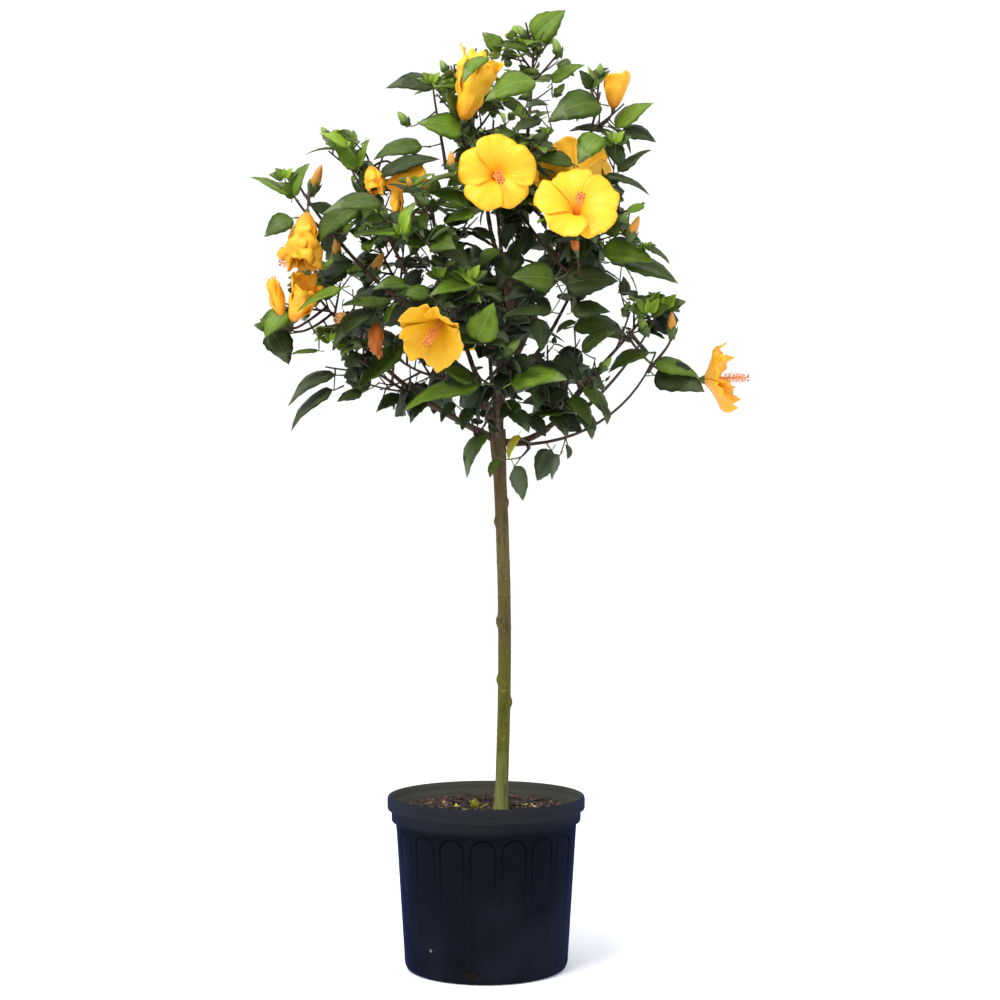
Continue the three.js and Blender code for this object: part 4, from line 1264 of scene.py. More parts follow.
def keep_in_view(foot, end, share):
    """Notes a blade or bud as an ellipse of the view, so that no leaf grows in front of it."""
    start, stop = seen_at(np.array([foot, end]))
    half = (stop - start) / 2
    across = np.array((-half[1], half[0])) * share
    axes = (*half / (half @ half), *across / (across @ across))
    kept_in_view.append((*(start + stop) / 2, *axes, foot[1]))


def mark_leaf(foot, aim, share, size, tone, bare):
    side = unit(np.cross(aim, towards_the_eye(aim, share)))
    leaf = {"foot": foot, "aim": aim, "side": side, "size": size, "tone": tone, "bare": bare}
    marked_leaves.append(leaf)


kept_in_view = []
marked_leaves = []
stalks = []
for x0, y0, x1, y1, tone, share, *depths in MARKED_LEAVES:
    foot, twig_point = near_a_twig(x0, y0, *depths)
    reach = in_view(x1, y1, foot[1] - 8) - foot
    size = np.linalg.norm(reach)
    keep_in_view(foot, foot + reach, BLADE_KEPT * share)
    stalks.append(Line(twig_point, (twig_point + foot) / 2 - UP * 3, foot))
    mark_leaf(foot, reach / size, share, size, tone, True)
print("marked leaves:", len(marked_leaves))

# %% Marked buds and tufts
MARKED_BUDS = (
    # middle, length, whether it shows its petals
    (316, 180, 42, True), (337, 251, 38, True), (376, 266, 42, True), (306, 311, 26, True),
    (403, 118, 22, False), (557, 46, 24, False), (560, 89, 20, False), (525, 93, 20, False),
    (508, 61, 15, False), (522, 31, 22, False), (634, 228, 34, True), (672, 325, 34, True),
    (643, 325, 28, False), (627, 308, 20, False), (512, 347, 28, False), (606, 364, 22, False),
    (595, 151, 18, False), (476, 78, 16, False), (458, 74, 18, True), (451, 161, 26, True),
)
MARKED_TUFTS = (
    # foot, length of its leaves
    (344, 150, 26), (285, 180, 22), (432, 84, 22), (470, 280, 26), (440, 278, 20), (616, 144, 24),
    (648, 315, 32), (664, 312, 34), (655, 300, 16), (522, 44, 20), (403, 236, 22), (453, 88, 20),
    (270, 330, 22), (480, 338, 16), (574, 408, 16), (332, 342, 18), (545, 134, 14),
    (646, 250, 16),
)
TUFT_LEAVES = (
    # how far it leans to the right, share of the tuft's length, tone
    (-74, 1.0, "mid"), (66, 0.95, "mid"), (-40, 0.9, "fresh"), (34, 0.85, "young"),
    (-6, 0.7, "young"),
)
TUFT_SHOWS = 0.85
buds = []
for px, py, length, shows in MARKED_BUDS:
    middle, twig_point = near_a_twig(px, py)
    way = unit(unit(middle - twig_point) * 0.7 + UP)
    foot = middle - way * length * 0.5
    stalks.append(Line(twig_point, foot - way * 8, foot))
    keep_in_view(foot, foot + way * length, BUD_KEPT)
    buds.append({"foot": foot, "way": way, "length": length, "shows": shows})
for px, py, length in MARKED_TUFTS:
    foot, twig_point = near_a_twig(px, py)
    stalks.append(Line(twig_point, (twig_point + foot) / 2, foot))
    for swing, share, tone in TUFT_LEAVES:
        swing = math.radians(swing)
        aim = unit(np.array((math.sin(swing), -0.3 * share, math.cos(swing))))
        mark_leaf(foot, aim, TUFT_SHOWS, length * share, tone, False)
kept_in_view = np.array(kept_in_view)


def hides_a_mark(points):
    """Whether any of the points stands in front of a marked blade or bud."""
    away = seen_at(points)[:, None, :] - kept_in_view[:, 0:2]
    along = (away * kept_in_view[:, 2:4]).sum(axis=2)
    across = (away * kept_in_view[:, 4:6]).sum(axis=2)
    in_front = points[:, 1:2] < kept_in_view[:, 6] + 6
    return (in_front & (along ** 2 + across ** 2 < 0.8)).any()


print("buds:", len(buds), "tufts:", len(MARKED_TUFTS))

# %% [markdown]
# ## Leaves by the rule
#
# Leaves stand along every twig in a spiral, hang a little, and turn their upper side outwards
# and to the sky. A leaf is tried at a few turns and sizes, and skipped where it has no room.
# Young bright leaves crowd at the tips. The ones deep inside the crown and low down get darker
# tones as painted shade, and high ones brighter tones as painted light.

# %% Leaf rule
LEAF_FIRST = 6
LEAF_SPACING = 7
LEAF_SIZES = (50, 86)
LEAF_HALF_WIDTH = 0.32
LEAF_SAG = 0.16
LEAF_APART = 4.2
TWIG_APART = 2.6
LEAF_SWINGS = (0, 50, -50, 100, -100, 180)
LEAF_SHARES = (0.54, 0.7, 0.85, 1)


def mark_table(rows, columns):
    """Places on a blade: how far along and how far across it, as shares of its length."""
    places = [(u, share * half * LEAF_HALF_WIDTH) for u, half in rows for share in columns]
    return np.array([(1, 0), *places])


INNER_MARKS = mark_table(((0.3, 0.4), (0.46, 0.95), (0.64, 0.8), (0.82, 0.4)), (-1, 0, 1))
EDGE_MARKS = mark_table(
    ((0.2, 0.4), (0.32, 0.8), (0.48, 1), (0.65, 0.8), (0.85, 0.4)), (-1, -0.5, 0, 0.5, 1),
)


def leaf_marks(foot, aim, side, size, table):
    """Points of a sagging blade, where a table has its marks."""
    along, across = table[:, 0:1], table[:, 1:2]
    return foot + size * (aim * along - UP * LEAF_SAG * along ** 2 + side * across)


class Taken:
    """Points that leaves keep apart from, each with its distance."""

    def __init__(self, points=np.empty((0, 3)), apart=np.empty(0)):
        self.points = points
        self.apart = apart

    def add(self, points, apart):
        self.points = np.concatenate([self.points, points])
        self.apart = np.concatenate([self.apart, np.full(len(points), apart)])

    def near(self, middle, reach):
        """Only the points within a reach."""
        close = np.linalg.norm(self.points - middle, axis=1) < reach
        return Taken(self.points[close], self.apart[close])

    def crowds(self, marks):
        gaps = np.linalg.norm(marks[:, None, :] - self.points, axis=2)
        return (gaps <= self.apart).any()


def leaf_at(space, taken, foot, along, turn, angle, size, hang, light):
    """The largest leaf that has room at a place, if any, with its blade turned to the light."""
    neighbours = taken.near(foot, size * 1.05 + LEAF_APART)
    outward = unit(foot - HEART) * 0.7 + UP * 0.75 + heading(light, 0) * 0.7
    for swing in LEAF_SWINGS:
        aim = unit(leaning(along, turn + swing, angle) - UP * hang)
        side = unit(np.cross(aim, outward))
        found = 0
        for tried in (size * share for share in LEAF_SHARES):
            edges = leaf_marks(foot, aim, side, tried, EDGE_MARKS)
            crowded = neighbours.crowds(leaf_marks(foot, aim, side, tried, INNER_MARKS))
            hides = hides_a_mark(edges) or not leaves_sky_free(edges)
            if crowded or hides or not are_free(space, edges):
                break
            found = tried
        if found:
            taken.add(leaf_marks(foot, aim, side, found, INNER_MARKS), LEAF_APART)
            return {"foot": foot, "aim": unit(aim - UP * LEAF_SAG), "side": side, "size": found}
    return None


# %% Tones
CROWN_REACH = np.array((330.0, 290.0, 330.0))
YOUNG_SIZE, YOUNG_FROM, DARK_FROM = 24, 0.6, 0.42
TONE_BANDS = (
    # how far out it starts, chance of the first tone, the two tones
    (1.15, 0.2, "young", "fresh"), (0.92, 0.6, "fresh", "mid"), (0.62, 0.8, "mid", "dark"),
)


def tone_of(foot, t, size, roll):
    """Which tone a leaf has: bright at the tips of high twigs, dark inside the crown and low.
    The darkening inwards and downwards is painted shade, and the brightening upwards painted light.
    """
    outness = np.linalg.norm((foot - HEART) / CROWN_REACH) + 0.22 * (t - 0.5) + roll(-0.16, 0.16)
    # painted light and shade: higher leaves get brighter tones and lower ones darker
    outness += 0.36 * (foot[2] - 900) / 300
    if size < YOUNG_SIZE and outness > YOUNG_FROM:
        return "young"
    for start, chance, first, second in TONE_BANDS:
        if outness > start:
            return first if roll(0, 1) < chance else second
    return "dark" if outness > DARK_FROM else "deep"


BARE_TIP = 3
LEAF_ANGLE = 58
TIP_LEAVES = (
    # place along the twig, turn, angle off it, share of the size, share of the hang
    (0.96, 0, 24, 0.7, 0.5), (0.97, 160, 44, 0.62, 0.5), (0.99, 70, 20, 0.4, 0),
    (0.99, 230, 30, 0.34, 0),
)


def leaves_along(space, taken, twig, roll):
    length = twig.length()
    first_turn = roll(0, 360)
    hang = HANG.get(space["name"], USUAL_HANG)
    places = []
    for i, place in enumerate(range(LEAF_FIRST, math.ceil(length - BARE_TIP), LEAF_SPACING)):
        t = place / length
        places.append((t, i * GOLDEN_TURN, LEAF_ANGLE, 1 - 0.15 * t, 1))
    grown = []
    for t, turn, angle, share, hang_share in (*places, *TIP_LEAVES):
        size = roll(*LEAF_SIZES) * share * LEAF_SHARE.get(space["name"], 1)
        light = roll(0, 360)
        leaf = leaf_at(
            space, taken, twig.at(t), twig.along(t), first_turn + turn, angle, size,
            hang * hang_share, light,
        )
        if leaf:
            leaf["tone"] = tone_of(leaf["foot"], t, leaf["size"], roll)
            grown.append(leaf)
    return grown


# %% Grow the leaves
marked = Taken()
for leaf in marked_leaves:
    blade = (leaf[key] for key in ("foot", "aim", "side", "size"))
    marked.add(leaf_marks(*blade, INNER_MARKS), LEAF_APART)
leaves = list(marked_leaves)
for space in spaces:
    roll = Dice(space["number"] + 201)
    taken = marked.near(space["centre"], space["reach"].max() + LEAF_APART)
    for twig in space["twigs"]:
        taken.add(twig.spread(max(2, int(twig.length() / 8))), TWIG_APART)
    for twig in reversed(space["twigs"]):
        grown = leaves_along(space, taken, twig, roll)
        leaves += grown
        if grown:
            twig.use()
print("leaves:", len(leaves), "twigs kept:", sum(twig.is_used for twig in all_twigs))

# %% [markdown]
# ## One leaf
#
# A hibiscus leaf is egg-shaped with a drawn-out tip and blunt low teeth, folded a little along
# a pale midrib, with a duller and lighter underside. It starts as a small sphere with seven
# meridians. Five strips make the upper side, one of them the midrib, and two the underside.
# The rings become rows along the leaf, every other one a tooth. A slim stalk is added.

# %% Leaf shapes
LEAF_COLUMNS = 7
LEAF_RINGS = 11
UNDERSIDE = 1
RIB = 2
STALK_SHARE = 0.14
RING_PLACES = (0, 0.05, 0.13, 0.23, 0.34, 0.45, 0.56, 0.67, 0.78, 0.88, 0.95, 1)
RING_WIDTHS = (0, 0.5, 0.83, 0.98, 1.0, 0.95, 0.84, 0.68, 0.48, 0.28, 0.12, 0)
RIB_EDGE = 0.045
COLUMN_PLACES = (0, -1, -0.52, -RIB_EDGE, RIB_EDGE, 0.52, 1)
TOOTH = 0.035


def blade_point(ring, column, bend, fold, twist, ripple):
    """Where a point of a leaf's blade lies, by its ring and its column."""
    across = COLUMN_PLACES[column]
    is_edge = abs(across) == 1
    is_rib = abs(across) == RIB_EDGE
    toothed = 1 + (TOOTH if ring % 2 else -TOOTH) * (1 < ring < LEAF_RINGS - 1)
    half = RING_WIDTHS[ring] * LEAF_HALF_WIDTH * (toothed if is_edge else 1)
    x = across * (0.36 * half ** 0.5 * 0.6 if is_rib else half)
    t = RING_PLACES[ring] + (0.012 if ring % 2 and is_edge else 0)
    lift = fold * abs(x) - 0.9 * fold * x * x / LEAF_HALF_WIDTH
    if column == 0:
        lift -= 0.008
    elif is_rib:
        lift += 0.007
    elif is_edge:
        lift += ripple * 0.8 * math.sin(ring * 1.9 + across)
    else:
        lift += 0.014 + ripple * (-1) ** ring
    lift *= 0 < ring < LEAF_RINGS
    c, s = math.cos(twist * t), math.sin(twist * t)
    x, lift = x * c - lift * s, x * s + lift * c
    arc = bend * t
    y = (math.sin(arc) - lift * bend * math.sin(arc)) / bend
    z = (math.cos(arc) - 1) / bend + lift * math.cos(arc)
    return x, STALK_SHARE + (1 - STALK_SHARE) * y, (1 - STALK_SHARE) * z


def add_leaf_stalk(bm):
    stalk = bmesh.ops.create_cone(
        bm, cap_ends=True, cap_tris=False, segments=4, radius1=0.014, radius2=0.009, depth=1,
    )["verts"]
    faces = list({f for v in stalk for f in v.link_faces})
    for f in faces:
        f.material_index = RIB
    for v in stalk:
        along = v.co.z + 0.5
        v.co = (v.co.x, along * (STALK_SHARE + 0.03) - 0.015, v.co.y - 0.004)
    bmesh.ops.recalc_face_normals(bm, faces=faces)


def leaf_shape(bend, fold, twist, ripple):
    """A leaf one unit long, with its stalk's foot at the origin and its tip along +Y."""
    bm = bmesh.new()
    bmesh.ops.create_uvsphere(bm, u_segments=LEAF_COLUMNS, v_segments=LEAF_RINGS, radius=1)
    columns = {}
    for v in bm.verts:
        ring = round(math.acos(max(-1, min(1, v.co.z))) / math.pi * LEAF_RINGS)
        column = round(math.atan2(v.co.y, v.co.x) / math.tau * LEAF_COLUMNS) % LEAF_COLUMNS
        columns[v] = column if 0 < ring < LEAF_RINGS else None
        v.co = blade_point(ring, column, bend, fold, twist, ripple)
    for f in bm.faces:
        held = {columns[v] for v in f.verts} - {None}
        f.material_index = UNDERSIDE if 0 in held else RIB if held <= {3, 4} else 0
    bmesh.ops.recalc_face_normals(bm, faces=bm.faces)
    add_leaf_stalk(bm)
    shape = shape_of(bm)
    arched = np.array((math.sin(bend), math.cos(bend) - 1)) / bend
    shape["tip"] = (STALK_SHARE, 0) + (1 - STALK_SHARE) * arched
    return shape


leaf_dice = np.random.default_rng(11)
LEAF_KINDS = (
    # bend, fold, twist, ripple
    (0.35, 0.30, 0.1, 0.006), (0.6, 0.45, -0.2, 0.008), (0.9, 0.25, 0.3, 0.007),
    (0.5, 0.15, -0.35, 0.009), (1.2, 0.40, 0.15, 0.006), (0.25, 0.55, 0.2, 0.010),
    (0.7, 0.60, -0.1, 0.007), (1.0, 0.10, 0.4, 0.008),
)
leaf_shapes = [leaf_shape(*kind) for kind in LEAF_KINDS]
print("one leaf:", len(leaf_shapes[0]["faces"]), "faces")

# %% [markdown]
# Leaf green is a whole family. The tones are plain base colours dealt out leaf by leaf, with
# only a faint mottling over each, a soft sheen on the upper side, and a dull paler underside.
# The yellow tone is for the one dying leaf at the fork, and for the fallen ones. The darkest
# tone is painted shade, for leaves low down and inside the crown.

# %% Leaf finishes
LEAF_TONES = {
    # upper side, its mottling, underside, midrib
    # painted shade: the darkest tone, for leaves low down and inside the crown
    "deep": ("1d2a10", "131c0a", "34432a", "303f22"),
    "dark": ("2b3a10", "1e290a", "3e4b2a", "3f4f26"),
    "mid": ("435813", "30430d", "5a6b3f", "586c30"),
    "fresh": ("5e791b", "466014", "6b7d43", "738a37"),
    "young": ("819f2a", "67851e", "849a48", "93aa46"),
    "yellow": ("b4a734", "8f8a26", "b0a64c", "c8bc5c"),
}


def leaf_finishes(tone):
    upper, mottle, under, rib = LEAF_TONES[tone]
    skin = Finish(tone + "_leaf_skin")
    spots = skin.cloud(55, 4)
    skin.set(Base_Color=skin.mix(tint(upper), tint(mottle), skin.stretch(spots, 0.35, 0.7)))
    skin.set(Roughness=skin.stretch(spots, 0.3, 0.7, 0.44, 0.6), Specular_IOR_Level=0.22)
    skin.set(Normal=skin.bump(skin.cloud(420, 2), 0.0004, 0.5))
    back = Finish(tone + "_leaf_underside")
    back.set(Base_Color=back.mix(tint(under), tint(upper), back.cloud(70, 3) * 0.4), Roughness=0.7)
    vein = Finish(tone + "_midrib")
    vein.set(Base_Color=vein.mix(tint(rib), tint(under), vein.cloud(90, 2) * 0.5), Roughness=0.5)
    return [skin.material, back.material, vein.material]


# %% Leaf pieces
def placed_leaf(leaf, shape):
    """A copy of a leaf shape, turned and scaled so that its tip lies where the leaf aims.

    A bare one has its own stalk, so it is placed by where its blade starts.
    """
    start = np.array((STALK_SHARE if leaf.get("bare") else 0, 0))
    tip = shape["tip"] - start
    reach = np.linalg.norm(tip)
    from_start = shape["points"][:, 1:3] - start
    along = from_start @ tip / reach ** 2
    over = from_start @ (-tip[1], tip[0]) / reach ** 2
    across = shape["points"][:, 0] / reach
    frame_of_leaf = np.array((leaf["side"], leaf["aim"], np.cross(leaf["side"], leaf["aim"])))
    return leaf["foot"] + leaf["size"] * np.column_stack([across, along, over]) @ frame_of_leaf


for tone in LEAF_TONES:
    heap = Heap()
    for leaf in leaves:
        shape = leaf_shapes[leaf_dice.integers(len(leaf_shapes))]
        if leaf["tone"] == tone:
            heap.add(shape, placed_leaf(leaf, shape))
    heap.piece(tone + "_leaves", "foliage", leaf_finishes(tone), foliage_nodes)

# %% [markdown]
# ## Carrying a tube along a line
#
# Every limb is a cylinder with rings, carried along its line. The rings are turned by the
# least that keeps them square to the line, so that the bark doesn't corkscrew.

# %% Tubes
def ringed_cone(sides, steps, foot_radius, fan_caps):
    """A cone one unit tall that stands round the origin, with rings between its ends."""
    bm = bmesh.new()
    bmesh.ops.create_cone(
        bm, cap_ends=True, cap_tris=fan_caps, segments=sides, radius1=foot_radius, radius2=1,
        depth=1,
    )
    rails = [e for e in bm.edges if abs(e.verts[0].co.z - e.verts[1].co.z) > 0.5]
    if steps > 1:
        bmesh.ops.subdivide_edges(bm, edges=rails, cuts=steps - 1)
    return bm


def tube_shape(sides, steps):
    return shape_of(ringed_cone(sides, steps, 1, False))


def levels_of(tube):
    """How far along the tube each of its points lies, from 0 to 1."""
    return np.round(tube["points"][:, 2] + 0.5, 5)


def carried(shape, line, radius_at, ring_places=lambda t: t):
    """A tube's points along a line, with the radius at each place."""
    levels, ring = np.unique(levels_of(shape), return_inverse=True)
    levels = np.array([ring_places(level) for level in levels])
    middles = np.array([line.at(level) for level in levels])
    ways = [line.along(level) for level in levels]
    across = unit(np.cross(ways[0], (0.31, 0.95, 0.05)))
    firsts, seconds = [], []
    for way in ways:
        across = unit(across - way * (across @ way))
        firsts.append(across)
        seconds.append(np.cross(way, across))
    radius = np.array([float(radius_at(level)) for level in levels])[ring, None]
    return (
        middles[ring]
        + np.array(firsts)[ring] * shape["points"][:, 0:1] * radius
        + np.array(seconds)[ring] * shape["points"][:, 1:2] * radius
    )


# %% [markdown]
# ## Trunk and boughs
#
# Young hibiscus bark is smooth and olive at the foot, and grey-brown and wrinkled higher up,
# with fine upright furrows, ring scars and healed knots where side shoots were pruned away.
# All of that is real relief here: each point of a finely divided tube moves in or out.

# %% Trunk
TRUNK_SIDES = 56
TRUNK_RINGS = 330
KNOTS = (
    # height, turn from the front to the right, size
    (339, 74, 5.5), (368, -100, 4.6), (443, -78, 6), (571, -60, 5), (596, 62, 5), (505, 20, 3),
    (300, -30, 2.6),
)
RING_SCARS = (236, 262, 301, 352, 391, 404, 436, 474, 519, 548, 566, 611, 632, 655)


def trunk_relief(point, centre):
    """How far the bark stands out or sinks in at a point of the trunk."""
    x, y = (point - centre)[:2]
    turn = math.atan2(x, -y)
    upright = noise.noise(Vector((math.sin(turn) * 5, math.cos(turn) * 5, point[2] * 0.02)))
    fine = noise.noise(Vector((math.sin(turn) * 11, math.cos(turn) * 11, point[2] * 0.07)))
    age = step_between(point[2], 330, 620)
    out = (0.16 + 0.34 * age) * upright + (0.1 + 0.2 * age) * fine
    for height in RING_SCARS:
        wander = 1.2 * math.sin(turn * 2 + height)
        out += 0.3 * math.exp(-(((point[2] - height - wander) / 1.1) ** 2))
    for height, knot_turn, size in KNOTS:
        around = (turn - math.radians(knot_turn) + math.pi) % math.tau - math.pi
        reach = math.hypot(around * TRUNK_RADIUS, (point[2] - height) * 0.8) / size
        out += size * (0.7 * math.exp(-reach * reach * 1.6) - 0.35 * math.exp(-reach * reach * 9))
    return out


def with_relief(points, line):
    """The trunk's points, each moved out or in by the relief there."""
    moved = points.copy()
    for i, point in enumerate(points):
        t = min(1, max(0, (point[2] - line.FOOT_Z) / (line.HEAD_Z - line.FOOT_Z)))
        centre = line.at(t)
        outward = point - centre
        reach = np.linalg.norm(outward)
        if reach > 1e-6:
            moved[i] = point + outward / reach * trunk_relief(point, centre)
    return moved


def bark(name, stops, dark, low_z, high_z):
    """Bark whose colour changes with height, with upright streaks and pale flecks."""
    finish = Finish(name)
    height = finish.parts(finish.place())[2]
    streaks = finish.cloud(150, 5, (1, 1, 0.16))
    flecks = finish.stretch(finish.cloud(420, 2, (1, 1, 0.6)), 0.6, 0.74)
    age = finish.stretch(height + streaks * 0.12, low_z, high_z)
    colour = finish.ramp(age, stops)
    colour = finish.mix(colour, tint(dark), finish.stretch(streaks, 0.5, 0.78))
    colour = finish.mix(colour, tint("a69b74"), flecks * 0.3)
    finish.set(Base_Color=colour, Roughness=finish.stretch(streaks, 0.3, 0.7, 0.6, 0.85))
    finish.set(Specular_IOR_Level=0.15)
    finish.set(Normal=finish.bump(streaks + finish.cloud(700, 3) * 0.5, 0.0008, 0.6))
    return finish.material


trunk_tube = tube_shape(TRUNK_SIDES, TRUNK_RINGS)
trunk_points = carried(trunk_tube, limbs["trunk"], limb_radius("trunk"))
trunk_heap = Heap()
trunk_heap.add(trunk_tube, with_relief(trunk_points, limbs["trunk"]))
TRUNK_TONES = (
    (0.08, "7e814e"), (0.28, "4e510f"), (0.45, "4c4b0e"), (0.6, "4b4120"), (0.78, "5b532d"),
    (0.9, "52432c"),
)
trunk_bark = bark("olive_bark", TRUNK_TONES, "2f2a18", 0.2, 0.7)
trunk_heap.piece("trunk_with_bark", "bark", [trunk_bark], ["trunk"])

# %% Boughs
BOUGH_COLLAR = 1.5
BOUGH_SLIMMER = 0.22


def bough_radius(name, length):
    """The CAD limb's radius, a little slimmer at its tip and with a collar at its start."""
    plain = limb_radius(name)
    return lambda t: (
        plain(t) * (1 - BOUGH_SLIMMER * t) + BOUGH_COLLAR * math.exp(-t * length / 9)
    )


bough_tube = tube_shape(14, 46)
bough_heap = Heap()
for space in spaces:
    line = limbs[space["name"]]
    points = carried(bough_tube, line, bough_radius(space["name"], line.length()))
    swell = grain(points, 0.11, 3) * 0.55 + grain(points * (1, 1, 0.35), 0.5, 8) * 0.28
    middles = np.array([line.at(level) for level in levels_of(bough_tube)])
    outward = points - middles
    outward /= np.linalg.norm(outward, axis=1)[:, None] + 1e-9
    bough_heap.add(bough_tube, points + outward * swell[:, None])
bough_bark = bark("brown_bough_bark", ((0, "54443a"), (1, "44291f")), "1f1310", 0.7, 1.0)
bough_heap.piece("boughs_with_bark", "twig", [bough_bark], bough_nodes)

# %% [markdown]
# ## Twigs
#
# Twigs are dark red-brown. Each is a slim tube that thickens a little at its start, where it
# leaves what bears it.

# %% Twigs
def tapering(start, end, collar=0.5):
    return lambda t: start + (end - start) * t + collar * math.exp(-max(t, 0) * 14)


def from_a_bit_back(t):
    """Starts a twig a little inside of what bears it."""
    return t - 0.012 * (1 - t)


shoot_tube, sprig_tube = tube_shape(6, 10), tube_shape(5, 6)
TWIG_SHAPES = {
    "stem": (tube_shape(8, 14), tapering(2.25, 1.4, 0)),
    "shoot": (shoot_tube, tapering(1.75, 1.1)),
    "flower shoot": (shoot_tube, tapering(1.75, 1.2)),
    "sprig": (sprig_tube, tapering(1.25, 0.8)),
    "branch": (tube_shape(8, 14), tapering(2.3, 1.2)),
}
twig_heap = Heap()
for twig in all_twigs:
    if twig.is_used:
        tube, radius_at = TWIG_SHAPES[twig.kind]
        twig_heap.add(tube, carried(tube, twig, radius_at, from_a_bit_back))
twig_bark = drifting("young_twig_bark", "4a2a20", "2a1a14", 0.6)
twig_heap.piece("twigs", "twig", [twig_bark], foliage_nodes)

stalk_heap = Heap()
for stalk in stalks:
    stalk_heap.add(sprig_tube, carried(sprig_tube, stalk, tapering(1.0, 0.75, 0.3)))
green_stalk = drifting("green_stalks", "55622e", "3c3a1e", 0.55)
stalk_heap.piece("green_stalks", "foliage", [green_stalk], foliage_nodes)

# %% [markdown]
# ## One petal
#
# A hibiscus flower has five broad petals that overlap like a pinwheel and are crinkled at
# the edge. A petal is a small grid whose points are moved onto a funnel. The same grid rolls
# round a tube for an opening bud, or crumples for a flower that is over. Its flat map runs
# along and across it, and carries the veins and the deeper colour near the throat.

# %% Petal grid
PETAL_CELLS = 16
PETALS = 5
PETAL_TURN = 360 / PETALS
PETAL_FOOT = 0.12
RAGGED = {"golden": 2.2, "amber": 2.2}
petal_bm = bmesh.new()
bmesh.ops.create_grid(petal_bm, x_segments=PETAL_CELLS, y_segments=PETAL_CELLS, size=1)
petal = shape_of(petal_bm)
petal_across = petal["points"][:, 0]
petal_along = petal["points"][:, 1] * 0.5 + 0.5
petal_map = np.column_stack([petal_across * 0.5 + 0.5, petal_along])


def set_towards(points, way, place):
    """Turns points drawn about +Z to face a way, and moves them to a place."""
    turn = Vector((0, 0, 1)).rotation_difference(Vector(way)).to_matrix()
    return points @ np.array(turn).T + place


def open_petal(flower, number, roll):
    """One of five petals of an open flower, with its mouth at the origin facing +Z."""
    v, u = petal_across, petal_along
    radius = flower["width"] / 2
    lobed = 0.24 * np.abs(v) ** 3 + 0.035 * np.cos(v * 8 + roll(0, 6)) * np.abs(v) ** 0.5
    reach = radius * (1 - lobed * u ** 2) * (0.035 + 0.965 * u ** 1.5) * roll(0.94, 1.06)
    angle = math.radians(PETAL_TURN * number) + math.radians(50) * v * (1 - 0.12 * u ** 4)
    depth, curve = flower["funnel"]
    funnel = -depth * flower["width"] * (1 - u) ** curve
    ragged = radius * RAGGED.get(flower["petals"], 1)
    wave = 0.07 * ragged * u ** 3 * np.sin(v * roll(3, 5) + roll(0, 6))
    crinkle = 0.035 * ragged * u ** 6 * np.sin(v * roll(11, 15) + roll(0, 6))
    back = -roll(0.02, 0.16) * radius * u ** 4
    pinwheel = 0.04 * radius * v * u
    z = funnel + wave + crinkle + back + pinwheel
    return np.column_stack([reach * np.cos(angle), reach * np.sin(angle), z])


def closed_petal(flower, number, roll):
    """A petal wrapped round its flower's axis, with its foot at the origin."""
    v, u = petal_across, petal_along
    flared = PETAL_FOOT + (1 - PETAL_FOOT) * u ** 0.6
    rolled = PETAL_FOOT + 0.7 * np.sin(u * math.pi * 0.85)
    openness, crumple = flower["openness"], flower["crumple"]
    radius = flower["width"] / 2 * (rolled + (flared - rolled) * openness) * (1 + 0.1 * v)
    twist = roll(0.3, 0.8) * (1.2 - openness)
    angle = math.radians(PETAL_TURN * number) + math.radians(58) * v * (1 - 0.15 * u) + twist * u
    z = flower["length"] * u * roll(0.9, 1.05) * (1 - 0.14 * np.abs(v) ** 2 * u)
    points = np.column_stack([radius * np.cos(angle), radius * np.sin(angle), z])
    push = grain(points + roll(0, 50), 0.07, number) * crumple * flower["width"] * 0.4 * u
    push += grain(points, 0.2, number + 5) * crumple * 2.5 * u
    points[:, 0] += push * np.cos(angle)
    points[:, 1] += push * np.sin(angle)
    points[:, 2] += grain(points, 0.1, number + 9) * crumple * flower["length"] * 0.16 * u
    return points


# %% [markdown]
# The petals are clear yellow, a little deeper towards the throat and along their fine veins.
# Golden petals are a deeper yellow: most rolled flowers have them, and on the half-shaded open
# flowers they are painted shade. A darker gold is painted shade on the low front flower, and the
# faded and withered ones go to orange and brown.
# The flat map places the throat and the veins.

# %% Petal finish
def petal_skin(name, outer, inner, vein, vein_share):
    finish = Finish(name)
    across_along = finish.node("UVMap", {"uv_map": "along_the_petal"})
    stretched = finish.node("Mapping", None, {"Vector": across_along, "Scale": (26, 1.6, 1)})
    veins = finish.node("TexNoise", None, {"Vector": stretched, "Scale": 1, "Detail": 3})
    along = finish.parts(across_along)[1]
    throat = finish.stretch(along + veins * 0.12, 0.42, 0.1)
    colour = finish.mix(tint(outer), tint(vein), finish.stretch(veins, 0.5, 0.72) * vein_share)
    colour = finish.mix(colour, tint(inner), throat)
    finish.set(Base_Color=colour, Roughness=0.55, Subsurface_Weight=0.08)
    finish.set(Subsurface_Radius=(0.01, 0.006, 0.001))
    finish.set(Normal=finish.bump(veins, 0.0015, 0.35))
    return finish.material


PETAL_FINISHES = {
    "yellow": petal_skin("yellow_petal", "f6b812", "e8950e", "eca012", 0.55),
    # golden is also painted shade on the half-shaded open flowers
    "golden": petal_skin("golden_petal", "efab12", "df850e", "e08f0e", 0.6),
    # painted shade: a darker gold for the low front flower
    "amber": petal_skin("amber_petal", "deaa04", "d69806", "d39e06", 0.6),
    "faded": petal_skin("faded_petal", "e0a35c", "c97c38", "ad6428", 0.9),
    "withered": petal_skin("withered_petal", "b4600f", "8a3f0e", "74300c", 0.9),
}

# %% Flower parts
column_tube, thread_tube = tube_shape(8, 8), tube_shape(3, 1)
bead_bm = bmesh.new()
bmesh.ops.create_icosphere(bead_bm, subdivisions=1, radius=1)
bead = shape_of(bead_bm)


